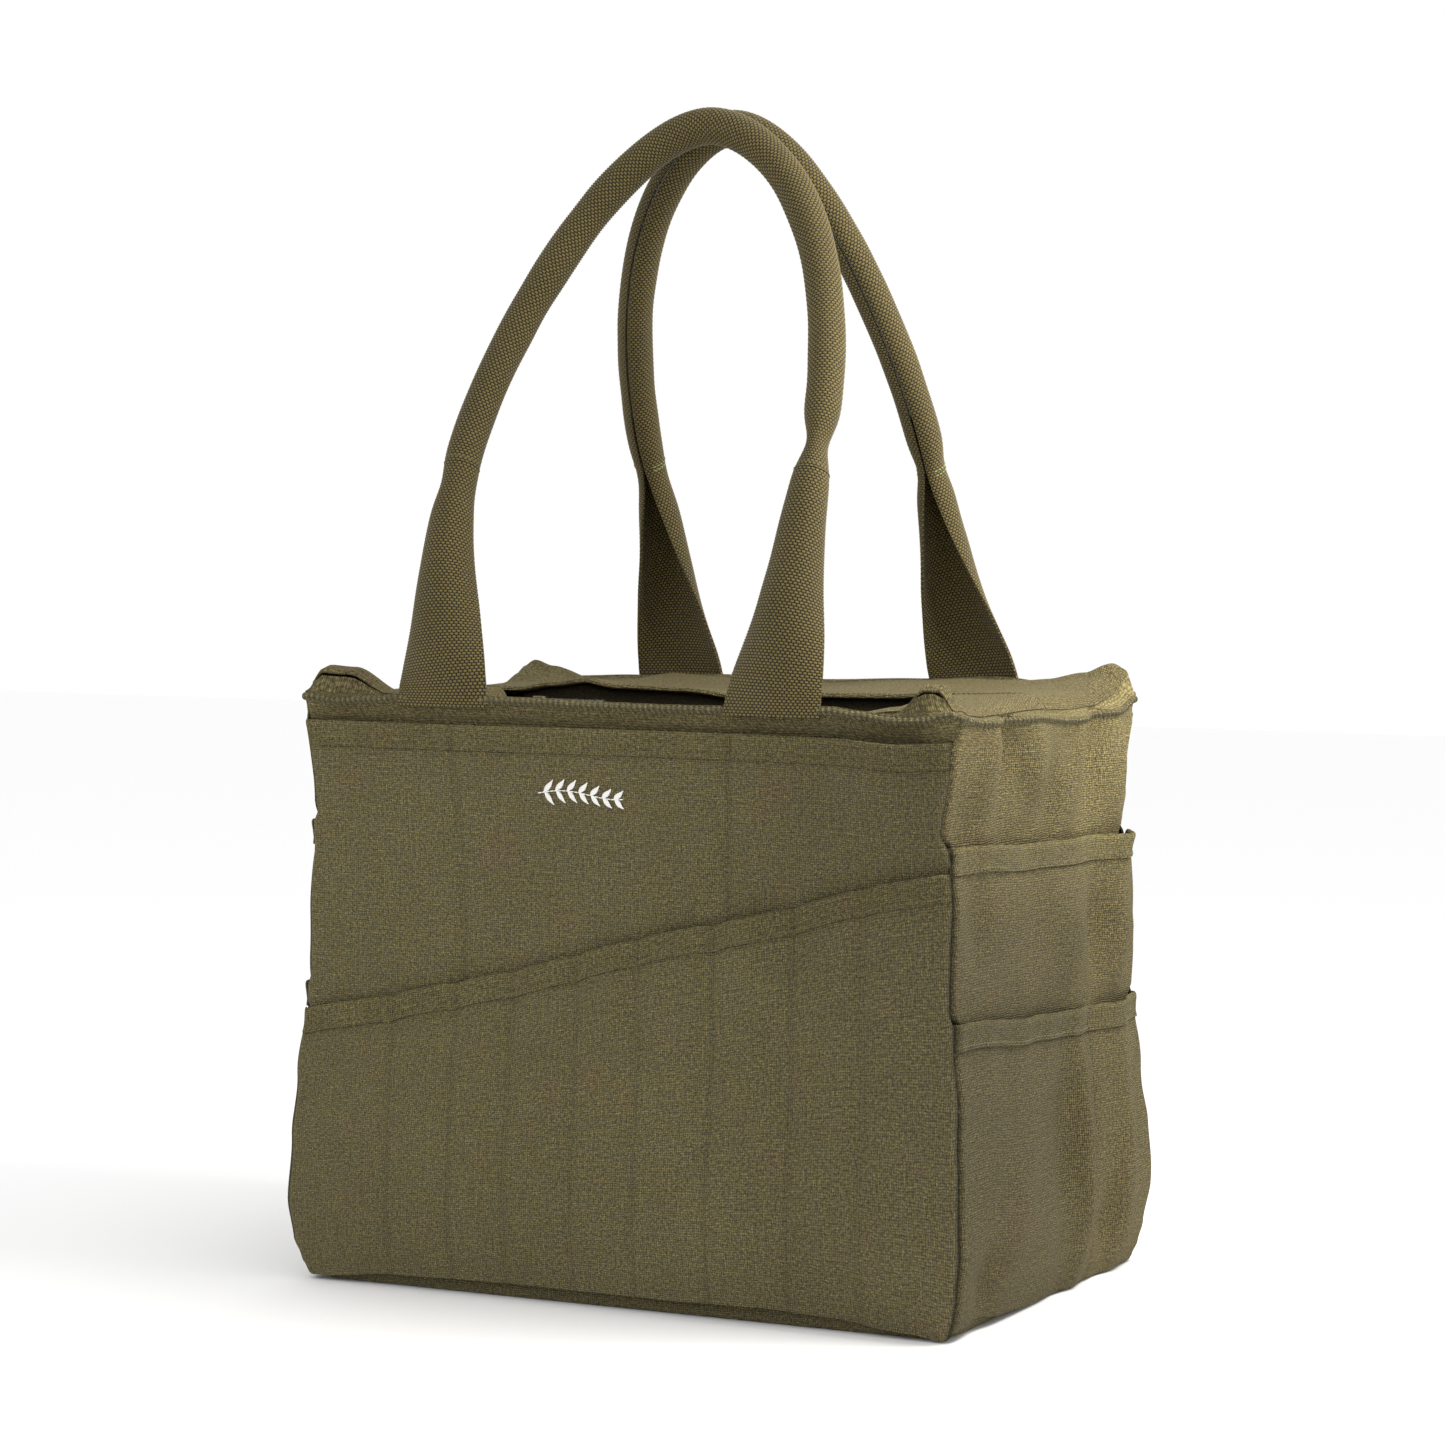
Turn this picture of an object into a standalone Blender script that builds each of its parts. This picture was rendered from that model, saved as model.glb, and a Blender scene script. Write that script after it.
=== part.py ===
"""Garden tool bag: a canvas box with pockets all round, a zipped two-piece cover and two webbing handles.

Metres, +Z up. The origin is at the bottom centre of the bag, the front faces -Y, X runs along its length.
Fabric layers are measured by their depth outside the wall, so a pocket is a tray around a clear gap.
"""
import math

import bmesh
import bpy
from mathutils import Matrix, Vector

# ---- driving dimensions ---------------------------------------------------------------------------------
LENGTH = 0.345              # outside the lower pockets, along X
WIDTH = 0.235               # outside the lower pockets, along Y
TOP_Z = 0.285               # height of the handle feet
HANDLE_RISE = 0.2845        # from the feet to the middle of the rolled strap at its highest point
STRAP_WIDTH = 0.050
STRAP_THICKNESS = 0.0016

GAP = 0.0003                # between neighbouring pieces
CANVAS = 0.0010             # pocket and cover fabric
WALL = 0.0014               # backed wall fabric
LINING = 0.0008
TAPE = 0.0006               # binding and zip tape fabric
POCKET_DEPTH = 0.0045       # clear space inside a pocket's mouth

BASE_INSET = 0.0030         # the base band is set back under the pockets
BASE_FLOOR = 0.0016
BASE_BAND = 0.0012
BASE_BAND_TOP = 0.0080
BOARD_THICKNESS = 0.0040
WALL_TOP = 0.2780
LINING_TOP = 0.2770

FLARE_START = 0.210         # above this height the walls lean outward
FLARE_X = 0.055             # fraction added to X at the top
FLARE_Y = 0.080             # fraction added to Y at the top

BINDING_HEIGHT = 0.0125
FRONT_UPPER_TOP = 0.2755
FRONT_LOWER_TOP = 0.1736    # at the middle of the slanted edge
FRONT_LOWER_SLOPE = 0.251
SIDE_UPPER_TOP = 0.2225
SIDE_UPPER_SLOPE = -0.044
SIDE_LOWER_TOP = 0.1400
SIDE_LOWER_SLOPE = -0.044
BACK_LOWER_TOP = 0.1736
FRONT_UPPER_DIVIDERS = (-0.0865, 0.0578)
FRONT_LOWER_DIVIDERS = (-0.1240, -0.0890, -0.0583, -0.0223, 0.0116, 0.0517, 0.0931, 0.1300)
SIDE_LOWER_DIVIDERS = (0.0500,)

PIPING_RADIUS = 0.0022
PIPING_Z = 0.2805

SLIT_LEFT = -0.1258         # the part of the cover that opens
SLIT_RIGHT = 0.1058
COVER_GAP = 0.0006
COVER_Z = 0.2805            # middle of the cover fabric, and its fold line
COVER_EDGE = 0.0085         # free edge of each half, from the middle
FOLD_INSET = 0.0010         # fold line, in from the piping
FRONT_DROOP = math.radians(25.0)
TAPE_WIDTH = 0.0105
TAPE_EDGE = 0.0035          # free edge of each tape, from the middle
TEETH_EDGE = 0.0012         # tips of each row of teeth, from the middle
TEETH_ROOT = 0.0024         # from the middle to the narrow spine that carries the teeth
TEETH_HEIGHT = 0.0020
TEETH_PITCH = 0.0050
TEETH_LEFT = -0.0950        # the slider parks between here and the bottom stop
TEETH_RIGHT = 0.1000
BACK_ROW_INSET = 0.0050     # the back row starts this far inside the opening
TOP_STOP_END = 0.0030       # right end of the top stops, past the teeth
BOTTOM_STOP_REACH = (0.0005, 0.0040)    # near and far end, left of the opening
BOTTOM_STOP_HALF_WIDTH = 0.0035
BOTTOM_STOP_HEIGHT = 0.0020

SLIDER_X = -0.1050
SLIDER_LENGTH = 0.0110
SLIDER_HALF_WIDTH = 0.0050
SLIDER_PLATE = 0.0010
SLIDER_CHANNEL = 0.0028
SLIDER_POST = 0.0012
BRIDGE_HEIGHT = 0.0034
BRIDGE_LENGTH = 0.0070
BRIDGE_WIDTH = 0.0020
BRIDGE_HOLE_LENGTH = 0.0044
BRIDGE_HOLE_HEIGHT = 0.0024
BRIDGE_HOLE_DROP = 0.0002   # its middle, below the middle of the bridge
PULL_LENGTH = 0.0380
PULL_WIDTH = 0.0090
PULL_THICKNESS = 0.0014
PULL_RIM = 0.0022           # beside the window
PULL_WINDOW_END = 0.0075    # from the pin

FRONT_FEET = (-0.0955, 0.0820)
BACK_FEET = (-0.0820, 0.0880)
FRONT_APEX = -0.0030        # X of the highest point
BACK_APEX = 0.0
FRONT_SWAY = -0.0033        # how far the legs' tops swing to one side
BACK_SWAY = -0.0050
SWAY_EXPONENT = 0.8
FRONT_BOW = 0.0070          # how far the legs spread on the way up
BACK_BOW = -0.0050
ARCH_EXPONENT = 1.8         # of the superellipse above the straight legs
FOOT_Y = 0.1135
FOOT_AXIS_DROP = 0.0008     # fold axis, below the lower edge of the strap
LEG_HEIGHT = 0.118          # above here the strap is fully rolled
ROLL_GROWTH = 0.85          # exponent of the curl along the leg
TUBE_RADIUS = 0.0082        # middle of the strap around the rolled tube
LEAN_GROWTH = 2.6           # shape of the inward lean, steeper low down when it is larger
FLAT_LEG = 0.01             # part of the curl the strap already has at its feet
CORE_CLEARANCE = 0.0010
LEG_STEPS = 9
ARCH_STEPS = 22
CURL_STEPS = 12

# ---- derived places -------------------------------------------------------------------------------------
# Depths are outside the wall. A binding is two tape legs, a gap on each side, and the pocket fabric.
BINDING_DEPTH = TAPE + GAP
UPPER_PANEL_OUT = POCKET_DEPTH + BINDING_DEPTH + CANVAS
LOWER_PANEL_OUT = UPPER_PANEL_OUT + POCKET_DEPTH + BINDING_DEPTH + CANVAS
CORE_X = LENGTH / 2 - LOWER_PANEL_OUT - BINDING_DEPTH
CORE_Y = WIDTH / 2 - LOWER_PANEL_OUT - BINDING_DEPTH
BOARD_BOTTOM = BASE_FLOOR + GAP
BOARD_TOP = BOARD_BOTTOM + BOARD_THICKNESS
INNER_BOTTOM = BOARD_TOP + GAP
OUTER_BOTTOM = BASE_BAND_TOP + GAP
HINGE_Z = TOP_Z - FOOT_AXIS_DROP
STRAP_LEAN = FOOT_Y - TUBE_RADIUS - STRAP_THICKNESS / 2 - GAP
FULL_CURL = STRAP_WIDTH / TUBE_RADIUS

SIDES = {                   # turn about Z from the front, half length of the face, distance from the middle
    "front": (0.0, CORE_X, CORE_Y),
    "right": (math.pi / 2, CORE_Y, CORE_X),
    "back": (math.pi, CORE_X, CORE_Y),
    "left": (-math.pi / 2, CORE_Y, CORE_X),
}


# ---- scene ----------------------------------------------------------------------------------------------
def clear_scene():
    for obj in list(bpy.data.objects):
        bpy.data.objects.remove(obj, do_unlink=True)


def new_collection(name):
    collection = bpy.data.collections.new(name)
    bpy.context.scene.collection.children.link(collection)
    return collection


def new_material(name, colour, roughness, metallic=0.0):
    material = bpy.data.materials.new(name)
    material.use_nodes = True
    shader = material.node_tree.nodes["Principled BSDF"]
    shader.inputs["Base Color"].default_value = (*colour, 1.0)
    shader.inputs["Roughness"].default_value = roughness
    shader.inputs["Metallic"].default_value = metallic
    return material


clear_scene()
PARTS = new_collection("garden_tool_bag")
CUTTERS = new_collection("cutters")
CANVAS_OLIVE = new_material("canvas_olive", (0.150, 0.122, 0.058), 0.9)
WALL_OLIVE = new_material("wall_olive", (0.140, 0.115, 0.055), 0.9)
BINDING_OLIVE = new_material("binding_olive", (0.130, 0.108, 0.050), 0.9)
WEBBING_OLIVE = new_material("webbing_olive", (0.098, 0.080, 0.036), 0.85)
LINING_OLIVE = new_material("lining_olive", (0.090, 0.078, 0.045), 0.95)
BOARD_GREY = new_material("board_grey", (0.050, 0.050, 0.048), 0.7)
CORD_WHITE = new_material("cord_white", (0.600, 0.580, 0.520), 0.9)
ZIP_TAPE = new_material("zip_tape", (0.080, 0.068, 0.034), 0.9)
METAL = new_material("silver_metal", (0.700, 0.690, 0.660), 0.3, 1.0)


# ---- building blocks ------------------------------------------------------------------------------------
def link_to(obj, collection, material=None, parent=None):
    for old in list(obj.users_collection):
        old.objects.unlink(obj)
    collection.objects.link(obj)
    if material:
        obj.data.materials.clear()
        obj.data.materials.append(material)
    obj.parent = parent
    return obj


def box(name, low, high, material=None, parent=None, collection=PARTS):
    """A rectangular solid between two corners, in its parent's frame."""
    low, high = Vector(low), Vector(high)
    bpy.ops.mesh.primitive_cube_add(size=1.0)
    obj = bpy.context.object
    obj.name = obj.data.name = name
    obj.data.transform(Matrix.Diagonal((*(high - low), 1.0)))
    obj.location = (low + high) / 2
    return link_to(obj, collection, material, parent)


def curve_to_mesh(name, curve, material, parent=None):
    """Turn a curve into one welded, closed mesh."""
    source = bpy.data.objects.new(name + "_curve", curve)
    PARTS.objects.link(source)
    bpy.context.view_layer.update()
    evaluated = source.evaluated_get(bpy.context.evaluated_depsgraph_get())
    mesh = bpy.data.meshes.new_from_object(evaluated)
    bpy.data.objects.remove(source, do_unlink=True)
    bm = bmesh.new()
    bm.from_mesh(mesh)
    bmesh.ops.remove_doubles(bm, verts=bm.verts, dist=1e-5)
    bmesh.ops.recalc_face_normals(bm, faces=bm.faces)
    bm.to_mesh(mesh)
    bm.free()
    mesh.name = name
    return link_to(bpy.data.objects.new(name, mesh), PARTS, material, parent)


def outline_solid(name, outlines, thickness, material, parent=None):
    """Flat outlines in XY, the first one outside and the others holes, as thick as stated about Z = 0."""
    curve = bpy.data.curves.new(name, "CURVE")
    curve.dimensions = "2D"
    curve.fill_mode = "BOTH"
    curve.extrude = thickness / 2
    for outline in outlines:
        spline = curve.splines.new("POLY")
        spline.points.add(len(outline) - 1)
        for point, (x, y) in zip(spline.points, outline):
            point.co = (x, y, 0.0, 1.0)
        spline.use_cyclic_u = True
    obj = curve_to_mesh(name, curve, material, parent)
    bm = bmesh.new()
    bm.from_mesh(obj.data)
    bmesh.ops.dissolve_limit(bm, angle_limit=math.radians(0.5), verts=bm.verts, edges=bm.edges)
    bm.to_mesh(obj.data)
    bm.free()
    return obj


def round_bar(name, path, radius, material, parent=None):
    """A round cord along a list of points, with flat ends."""
    curve = bpy.data.curves.new(name, "CURVE")
    curve.dimensions = "3D"
    curve.bevel_depth = radius
    curve.bevel_resolution = 2
    curve.use_fill_caps = True
    spline = curve.splines.new("POLY")
    spline.points.add(len(path) - 1)
    for point, place in zip(spline.points, path):
        point.co = (*place, 1.0)
    obj = curve_to_mesh(name, curve, material, parent)
    obj.data.shade_smooth()
    obj.data.set_sharp_from_angle(angle=math.radians(50))
    return obj


def combine(obj, tool, operation):
    """Apply an exact Boolean and discard the tool."""
    tool.hide_render = True
    tool.display_type = "WIRE"
    modifier = obj.modifiers.new("combine", "BOOLEAN")
    modifier.operation = operation
    modifier.solver = "EXACT"
    modifier.object = tool
    bpy.context.view_layer.update()
    evaluated = obj.evaluated_get(bpy.context.evaluated_depsgraph_get())
    mesh = bpy.data.meshes.new_from_object(evaluated)
    obj.modifiers.clear()
    obj.data = mesh
    bpy.data.objects.remove(tool, do_unlink=True)


def axis_empty(name, location, tilt=0.0):
    """An empty on a joint's axis, tilted about X."""
    empty = bpy.data.objects.new(name, None)
    empty.location = location
    empty.rotation_euler = (tilt, 0.0, 0.0)
    PARTS.objects.link(empty)
    return empty


def flare(obj):
    """Lean the part above FLARE_START outward, as every layer of the bag does toward its mouth."""
    bm = bmesh.new()
    bm.from_mesh(obj.data)
    bm.transform(obj.matrix_basis)
    bmesh.ops.bisect_plane(bm, geom=bm.verts[:] + bm.edges[:] + bm.faces[:], dist=1e-6,
                           plane_co=(0, 0, FLARE_START), plane_no=(0, 0, 1))
    for vert in bm.verts:
        scale_x, scale_y = flare_scale(vert.co.z)
        vert.co.x *= scale_x
        vert.co.y *= scale_y
    bm.to_mesh(obj.data)
    bm.free()
    obj.matrix_basis = Matrix.Identity(4)


def flare_scale(z):
    rise = max(0.0, (z - FLARE_START) / (TOP_Z - FLARE_START))
    return 1 + FLARE_X * rise, 1 + FLARE_Y * rise


def slant(obj, slope, above):
    """Raise the vertices above a height in proportion to their X."""
    for vert in obj.data.vertices:
        if vert.co.z > above:
            vert.co.z += slope * vert.co.x


# ---- base, walls and lining -----------------------------------------------------------------------------
def open_box(name, half_x, half_y, bottom, top, thickness, material):
    """A box without its upper face, as a shell that grows inward."""
    bpy.ops.mesh.primitive_cube_add(size=1.0)
    obj = bpy.context.object
    obj.name = obj.data.name = name
    obj.data.transform(Matrix.Diagonal((2 * half_x, 2 * half_y, top - bottom, 1.0)))
    obj.data.transform(Matrix.Translation((0, 0, (top + bottom) / 2)))
    bm = bmesh.new()
    bm.from_mesh(obj.data)
    upper = [face for face in bm.faces if face.normal.z > 0.5]
    bmesh.ops.delete(bm, geom=upper, context="FACES_ONLY")
    bm.to_mesh(obj.data)
    bm.free()
    shell = obj.modifiers.new("thickness", "SOLIDIFY")
    shell.thickness = thickness
    shell.offset = -1.0
    shell.use_even_offset = True
    link_to(obj, PARTS, material)
    bpy.context.view_layer.update()
    evaluated = obj.evaluated_get(bpy.context.evaluated_depsgraph_get())
    mesh = bpy.data.meshes.new_from_object(evaluated)
    obj.modifiers.clear()
    obj.data = mesh
    return obj


def build_base():
    half_x = LENGTH / 2 - BASE_INSET
    half_y = WIDTH / 2 - BASE_INSET
    base = open_box("base_panel", half_x, half_y, 0.0, BASE_BAND_TOP, BASE_BAND, CANVAS_OLIVE)
    floor = box("floor_layer", (-half_x + BASE_BAND / 2, -half_y + BASE_BAND / 2, BASE_BAND / 2),
                (half_x - BASE_BAND / 2, half_y - BASE_BAND / 2, BASE_FLOOR), collection=CUTTERS)
    combine(base, floor, "UNION")
    edge = BASE_BAND + GAP
    box("base_board", (-half_x + edge, -half_y + edge, BOARD_BOTTOM),
        (half_x - edge, half_y - edge, BOARD_TOP), BOARD_GREY)


def build_walls():
    for side, (turn, half, distance) in SIDES.items():
        reach = half if side in ("front", "back") else half - WALL - GAP
        wall = box(side + "_wall", (-reach, -distance, INNER_BOTTOM), (reach, -distance + WALL, WALL_TOP),
                   WALL_OLIVE)
        wall.data.transform(Matrix.Translation(wall.location))
        wall.location = (0, 0, 0)
        wall.data.transform(Matrix.Rotation(turn, 4, "Z"))
        flare(wall)
    inner = WALL + GAP
    lining = open_box("lining", CORE_X - inner, CORE_Y - inner, INNER_BOTTOM, LINING_TOP, LINING,
                      LINING_OLIVE)
    flare(lining)


# ---- pockets --------------------------------------------------------------------------------------------
def tray_outline(half, distance, inner_depth, panel_depth, dividers):
    """A pocket seen from above: a flat panel, a mitred return at each end and a rib at each divider."""
    mitre = GAP / math.sqrt(2)
    back = inner_depth + GAP
    outer_x = half + panel_depth - mitre
    return_x = half + back - mitre
    panel_in = -(distance + panel_depth - CANVAS)
    root_x = outer_x - CANVAS * (1 + math.sqrt(2))
    points = [(-outer_x, -(distance + panel_depth)), (outer_x, -(distance + panel_depth)),
              (return_x, -(distance + back)), (return_x - CANVAS * math.sqrt(2), -(distance + back)),
              (root_x, panel_in)]
    for x in sorted(dividers, reverse=True):
        points += [(x + CANVAS / 2, panel_in), (x + CANVAS / 2, -(distance + back)),
                   (x - CANVAS / 2, -(distance + back)), (x - CANVAS / 2, panel_in)]
    points += [(-root_x, panel_in), (-return_x + CANVAS * math.sqrt(2), -(distance + back)),
               (-return_x, -(distance + back))]
    return points


def panel_outline(half, distance, panel_depth):
    """A pocket's panel alone, seen from above and mitred at each end."""
    outer_x = half + panel_depth - GAP / math.sqrt(2)
    outside = -(distance + panel_depth)
    return [(-outer_x, outside), (outer_x, outside),
            (outer_x - CANVAS, outside + CANVAS), (CANVAS - outer_x, outside + CANVAS)]


def build_pocket(side, level, inner_depth, panel_depth, bottom, top, slope=0.0, dividers=(), tray=True):
    """A pocket, as one tray or as its panel alone, and the binding folded over its upper edge."""
    turn, half, distance = SIDES[side]
    name = side + "_" + level + "_pocket"
    panel_top = top - BINDING_DEPTH
    outline = (tray_outline(half, distance, inner_depth, panel_depth, dividers) if tray
               else panel_outline(half, distance, panel_depth))
    pocket = outline_solid(name, [outline], panel_top - bottom, CANVAS_OLIVE)
    pocket.data.transform(Matrix.Translation((0, 0, (panel_top + bottom) / 2)))
    if tray:
        panel_in = distance + panel_depth - CANVAS
        cutter = box("mouth_cut", (-half - panel_depth, -panel_in, top - BINDING_HEIGHT - GAP),
                     (half + panel_depth, -distance, panel_top + CANVAS), collection=CUTTERS)
        combine(pocket, cutter, "DIFFERENCE")
    slant(pocket, slope, bottom + GAP)

    inner_leg = inner_depth + POCKET_DEPTH
    outer_leg = panel_depth + BINDING_DEPTH
    outside, inside = -distance - outer_leg, -distance - inner_leg
    hem = top - BINDING_HEIGHT
    profile = [(outside, hem), (outside + TAPE, hem), (outside + TAPE, top - TAPE),
               (inside - TAPE, top - TAPE), (inside - TAPE, hem), (inside, hem), (inside, top),
               (outside, top)]
    reach = half + inner_leg - GAP
    binding = outline_solid(name + "_binding", [profile], 2 * reach, BINDING_OLIVE)
    binding.data.transform(Matrix(((0, 0, 1, 0), (1, 0, 0, 0), (0, 1, 0, 0), (0, 0, 0, 1))))
    slant(binding, slope, 0.0)
    for piece in (pocket, binding):
        piece.data.transform(Matrix.Rotation(turn, 4, "Z"))
        flare(piece)


def build_front_lower_ribs():
    """The slanted row's stitched dividers and its two ends, each a strip of its own behind the panel."""
    near = -(CORE_Y + LOWER_PANEL_OUT - CANVAS - GAP)
    far = -(CORE_Y + UPPER_PANEL_OUT + GAP)
    top = FRONT_LOWER_TOP - BINDING_HEIGHT - GAP
    ribs = {f"front_lower_divider_{i}": [(x - CANVAS / 2, near), (x + CANVAS / 2, near),
                                         (x + CANVAS / 2, far), (x - CANVAS / 2, far)]
            for i, x in enumerate(FRONT_LOWER_DIVIDERS, 1)}
    near_x = CORE_X + LOWER_PANEL_OUT - GAP / math.sqrt(2) - CANVAS - GAP
    far_x = near_x - (far - near)
    across = CANVAS * math.sqrt(2)
    for end, sign in (("left", -1), ("right", 1)):
        ribs["front_lower_return_" + end] = [
            (sign * x, y) for x, y in ((near_x - across, near), (near_x, near),
                                       (far_x, far), (far_x - across, far))]
    for name, outline in ribs.items():
        rib = outline_solid(name, [outline], top - OUTER_BOTTOM, CANVAS_OLIVE)
        rib.data.transform(Matrix.Translation((0, 0, (top + OUTER_BOTTOM) / 2)))
        slant(rib, FRONT_LOWER_SLOPE, OUTER_BOTTOM + GAP)
        flare(rib)


def build_pockets():
    upper = (0.0, UPPER_PANEL_OUT, INNER_BOTTOM)
    lower = (UPPER_PANEL_OUT, LOWER_PANEL_OUT, OUTER_BOTTOM)
    build_pocket("front", "upper", *upper, FRONT_UPPER_TOP, dividers=FRONT_UPPER_DIVIDERS)
    build_pocket("front", "lower", *lower, FRONT_LOWER_TOP, FRONT_LOWER_SLOPE, tray=False)
    build_front_lower_ribs()
    build_pocket("back", "upper", *upper, FRONT_UPPER_TOP, dividers=FRONT_UPPER_DIVIDERS)
    build_pocket("back", "lower", *lower, BACK_LOWER_TOP, dividers=(0.0,))
    build_pocket("right", "upper", *upper, SIDE_UPPER_TOP, SIDE_UPPER_SLOPE)
    build_pocket("right", "lower", *lower, SIDE_LOWER_TOP, SIDE_LOWER_SLOPE, SIDE_LOWER_DIVIDERS)
    build_pocket("left", "upper", *upper, SIDE_UPPER_TOP, -SIDE_UPPER_SLOPE)
    build_pocket("left", "lower", *lower, SIDE_LOWER_TOP, -SIDE_LOWER_SLOPE,
                 [-x for x in SIDE_LOWER_DIVIDERS])


# ---- top edge and cover ---------------------------------------------------------------------------------
def top_half_sizes():
    """Half length and half width of the piped edge, at the piping's centre line."""
    scale_x, scale_y = flare_scale(PIPING_Z)
    return (CORE_X - WALL / 2) * scale_x, (CORE_Y - WALL / 2) * scale_y


def build_top_edge():
    half_x, half_y = top_half_sizes()
    short = half_y - PIPING_RADIUS - GAP
    for side, y in (("front", -half_y), ("back", half_y)):
        round_bar("top_edge_piping_" + side, [(-half_x, y, PIPING_Z), (half_x, y, PIPING_Z)], PIPING_RADIUS,
                  BINDING_OLIVE)
    for side, x in (("left", -half_x), ("right", half_x)):
        round_bar("top_edge_piping_" + side, [(x, -short, PIPING_Z), (x, short, PIPING_Z)], PIPING_RADIUS,
                  BINDING_OLIVE)


def fold_line():
    """Distance of each cover half's fold line from the middle."""
    return top_half_sizes()[1] - PIPING_RADIUS - FOLD_INSET


def build_cover_ends():
    end_x = top_half_sizes()[0] - PIPING_RADIUS - COVER_GAP
    low, high = COVER_Z - CANVAS / 2, COVER_Z + CANVAS / 2
    y = fold_line()
    box("cover_left_end", (-end_x, -y, low), (SLIT_LEFT, y, high), CANVAS_OLIVE)
    box("cover_right_end", (SLIT_RIGHT, -y, low), (end_x, y, high), CANVAS_OLIVE)
    near, far = BOTTOM_STOP_REACH
    box("zip_bottom_stop", (SLIT_LEFT - far, -BOTTOM_STOP_HALF_WIDTH, high + GAP),
        (SLIT_LEFT - near, BOTTOM_STOP_HALF_WIDTH, high + BOTTOM_STOP_HEIGHT), METAL)


def teeth_outline(sign, left, right):
    """A row of square teeth on a narrow spine, with the tips toward the middle of the cover."""
    spine = sign * (TAPE_EDGE - GAP)
    root = sign * TEETH_ROOT
    tip = sign * TEETH_EDGE
    count = round((right - left) / TEETH_PITCH)
    points = [(right, spine), (left, spine)]
    for i in range(count):
        x = left + i * TEETH_PITCH
        points += [(x, root), (x + TEETH_PITCH * 0.25, root), (x + TEETH_PITCH * 0.25, tip),
                   (x + TEETH_PITCH * 0.75, tip), (x + TEETH_PITCH * 0.75, root)]
    points.append((right, root))
    return points


def build_cover_half(side, sign, tilt, left):
    """One half of the cover with its tape, teeth and top stop, all on the fold line's empty."""
    y = fold_line()
    axis = axis_empty("cover_" + side + "_axis", (0, sign * y, COVER_Z), tilt)
    inward = -sign

    def place(distance_from_middle):
        return inward * (y - distance_from_middle)

    def strip(name, middle_near, middle_far, x0, x1, z0, z1, material):
        ys = sorted((place(middle_near), place(middle_far)))
        return box(name, (x0, ys[0], z0), (x1, ys[1], z1), material, axis)

    strip("cover_" + side + "_flap", COVER_EDGE, y, SLIT_LEFT + COVER_GAP, SLIT_RIGHT - COVER_GAP,
          -CANVAS / 2, CANVAS / 2, CANVAS_OLIVE)
    tape_top = -CANVAS / 2 - GAP
    strip("zip_" + side + "_tape", TAPE_EDGE, TAPE_EDGE + TAPE_WIDTH, left, SLIT_RIGHT - COVER_GAP,
          tape_top - TAPE, tape_top, ZIP_TAPE)
    teeth_z = tape_top - TAPE / 2
    teeth = outline_solid("zip_" + side + "_teeth", [teeth_outline(sign, left, TEETH_RIGHT)], TEETH_HEIGHT,
                          METAL, axis)
    teeth.data.transform(Matrix.Translation((0, -sign * y, teeth_z)))
    strip("zip_" + side + "_top_stop", TEETH_EDGE, TAPE_EDGE - GAP, TEETH_RIGHT + GAP,
          TEETH_RIGHT + TOP_STOP_END, teeth_z - TEETH_HEIGHT / 2, teeth_z + TEETH_HEIGHT / 2, METAL)
    return COVER_Z + teeth_z


def build_slider(channel_z):
    """Two plates joined by a post, with a bridge on top that carries the pull's end bar."""
    half = SLIDER_CHANNEL / 2
    outer = half + SLIDER_PLATE
    sink = SLIDER_PLATE / 2
    plate_x, plate_y = SLIDER_LENGTH / 2, SLIDER_HALF_WIDTH
    post_x, post_y = plate_x - sink, SLIDER_POST / 2
    slider = box("zip_slider_body", (-plate_x, -plate_y, -outer), (plate_x, plate_y, -half), METAL)
    slider.data.transform(Matrix.Translation(slider.location))
    slider.location = (0, 0, 0)
    for name, x, y, low, high in (("post", post_x, post_y, -half - sink, half + sink),
                                  ("upper_plate", plate_x, plate_y, half, outer),
                                  ("bridge", BRIDGE_LENGTH / 2, BRIDGE_WIDTH / 2, outer - sink,
                                   outer + BRIDGE_HEIGHT)):
        combine(slider, box(name, (-x, -y, low), (x, y, high), collection=CUTTERS), "UNION")
    hole_z = outer + BRIDGE_HEIGHT / 2 - BRIDGE_HOLE_DROP
    hole = box("bridge_hole", (-BRIDGE_HOLE_LENGTH / 2, -BRIDGE_WIDTH, hole_z - BRIDGE_HOLE_HEIGHT / 2),
               (BRIDGE_HOLE_LENGTH / 2, BRIDGE_WIDTH, hole_z + BRIDGE_HOLE_HEIGHT / 2), collection=CUTTERS)
    combine(slider, hole, "DIFFERENCE")
    slider.location = (SLIDER_X, 0, channel_z)
    return channel_z + hole_z


def build_pull(pin_z):
    """A flat tab lying toward +X, with a window whose end bar runs through the slider's bridge."""
    axis = axis_empty("zip_pull_axis", (SLIDER_X, 0, pin_z))
    bar = PULL_THICKNESS / 2
    half = PULL_WIDTH / 2
    centre = PULL_LENGTH - half
    tip = [(centre + half * math.sin(a), half * math.cos(a))
           for a in (math.pi * i / 8 for i in range(9))]
    outer = [(-bar, half), *tip, (-bar, -half)]
    window = [(bar, PULL_RIM - half), (PULL_WINDOW_END, PULL_RIM - half), (PULL_WINDOW_END, half - PULL_RIM),
              (bar, half - PULL_RIM)]
    tab = outline_solid("zip_pull_tab", [outer, window], PULL_THICKNESS, METAL, axis)
    tab.data.set_sharp_from_angle(angle=math.radians(30))


def build_cover():
    build_cover_ends()
    build_cover_half("front", -1, -FRONT_DROOP, TEETH_LEFT)
    channel_z = build_cover_half("back", 1, 0.0, SLIT_LEFT + COVER_GAP + BACK_ROW_INSET)
    build_pull(build_slider(channel_z))


# ---- handles --------------------------------------------------------------------------------------------
def lean_at(height):
    """Inward lean of the strap's middle at a height above the feet."""
    t = height / HANDLE_RISE
    return STRAP_LEAN * t * t * (LEAN_GROWTH - (LEAN_GROWTH - 1) * t)


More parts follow.
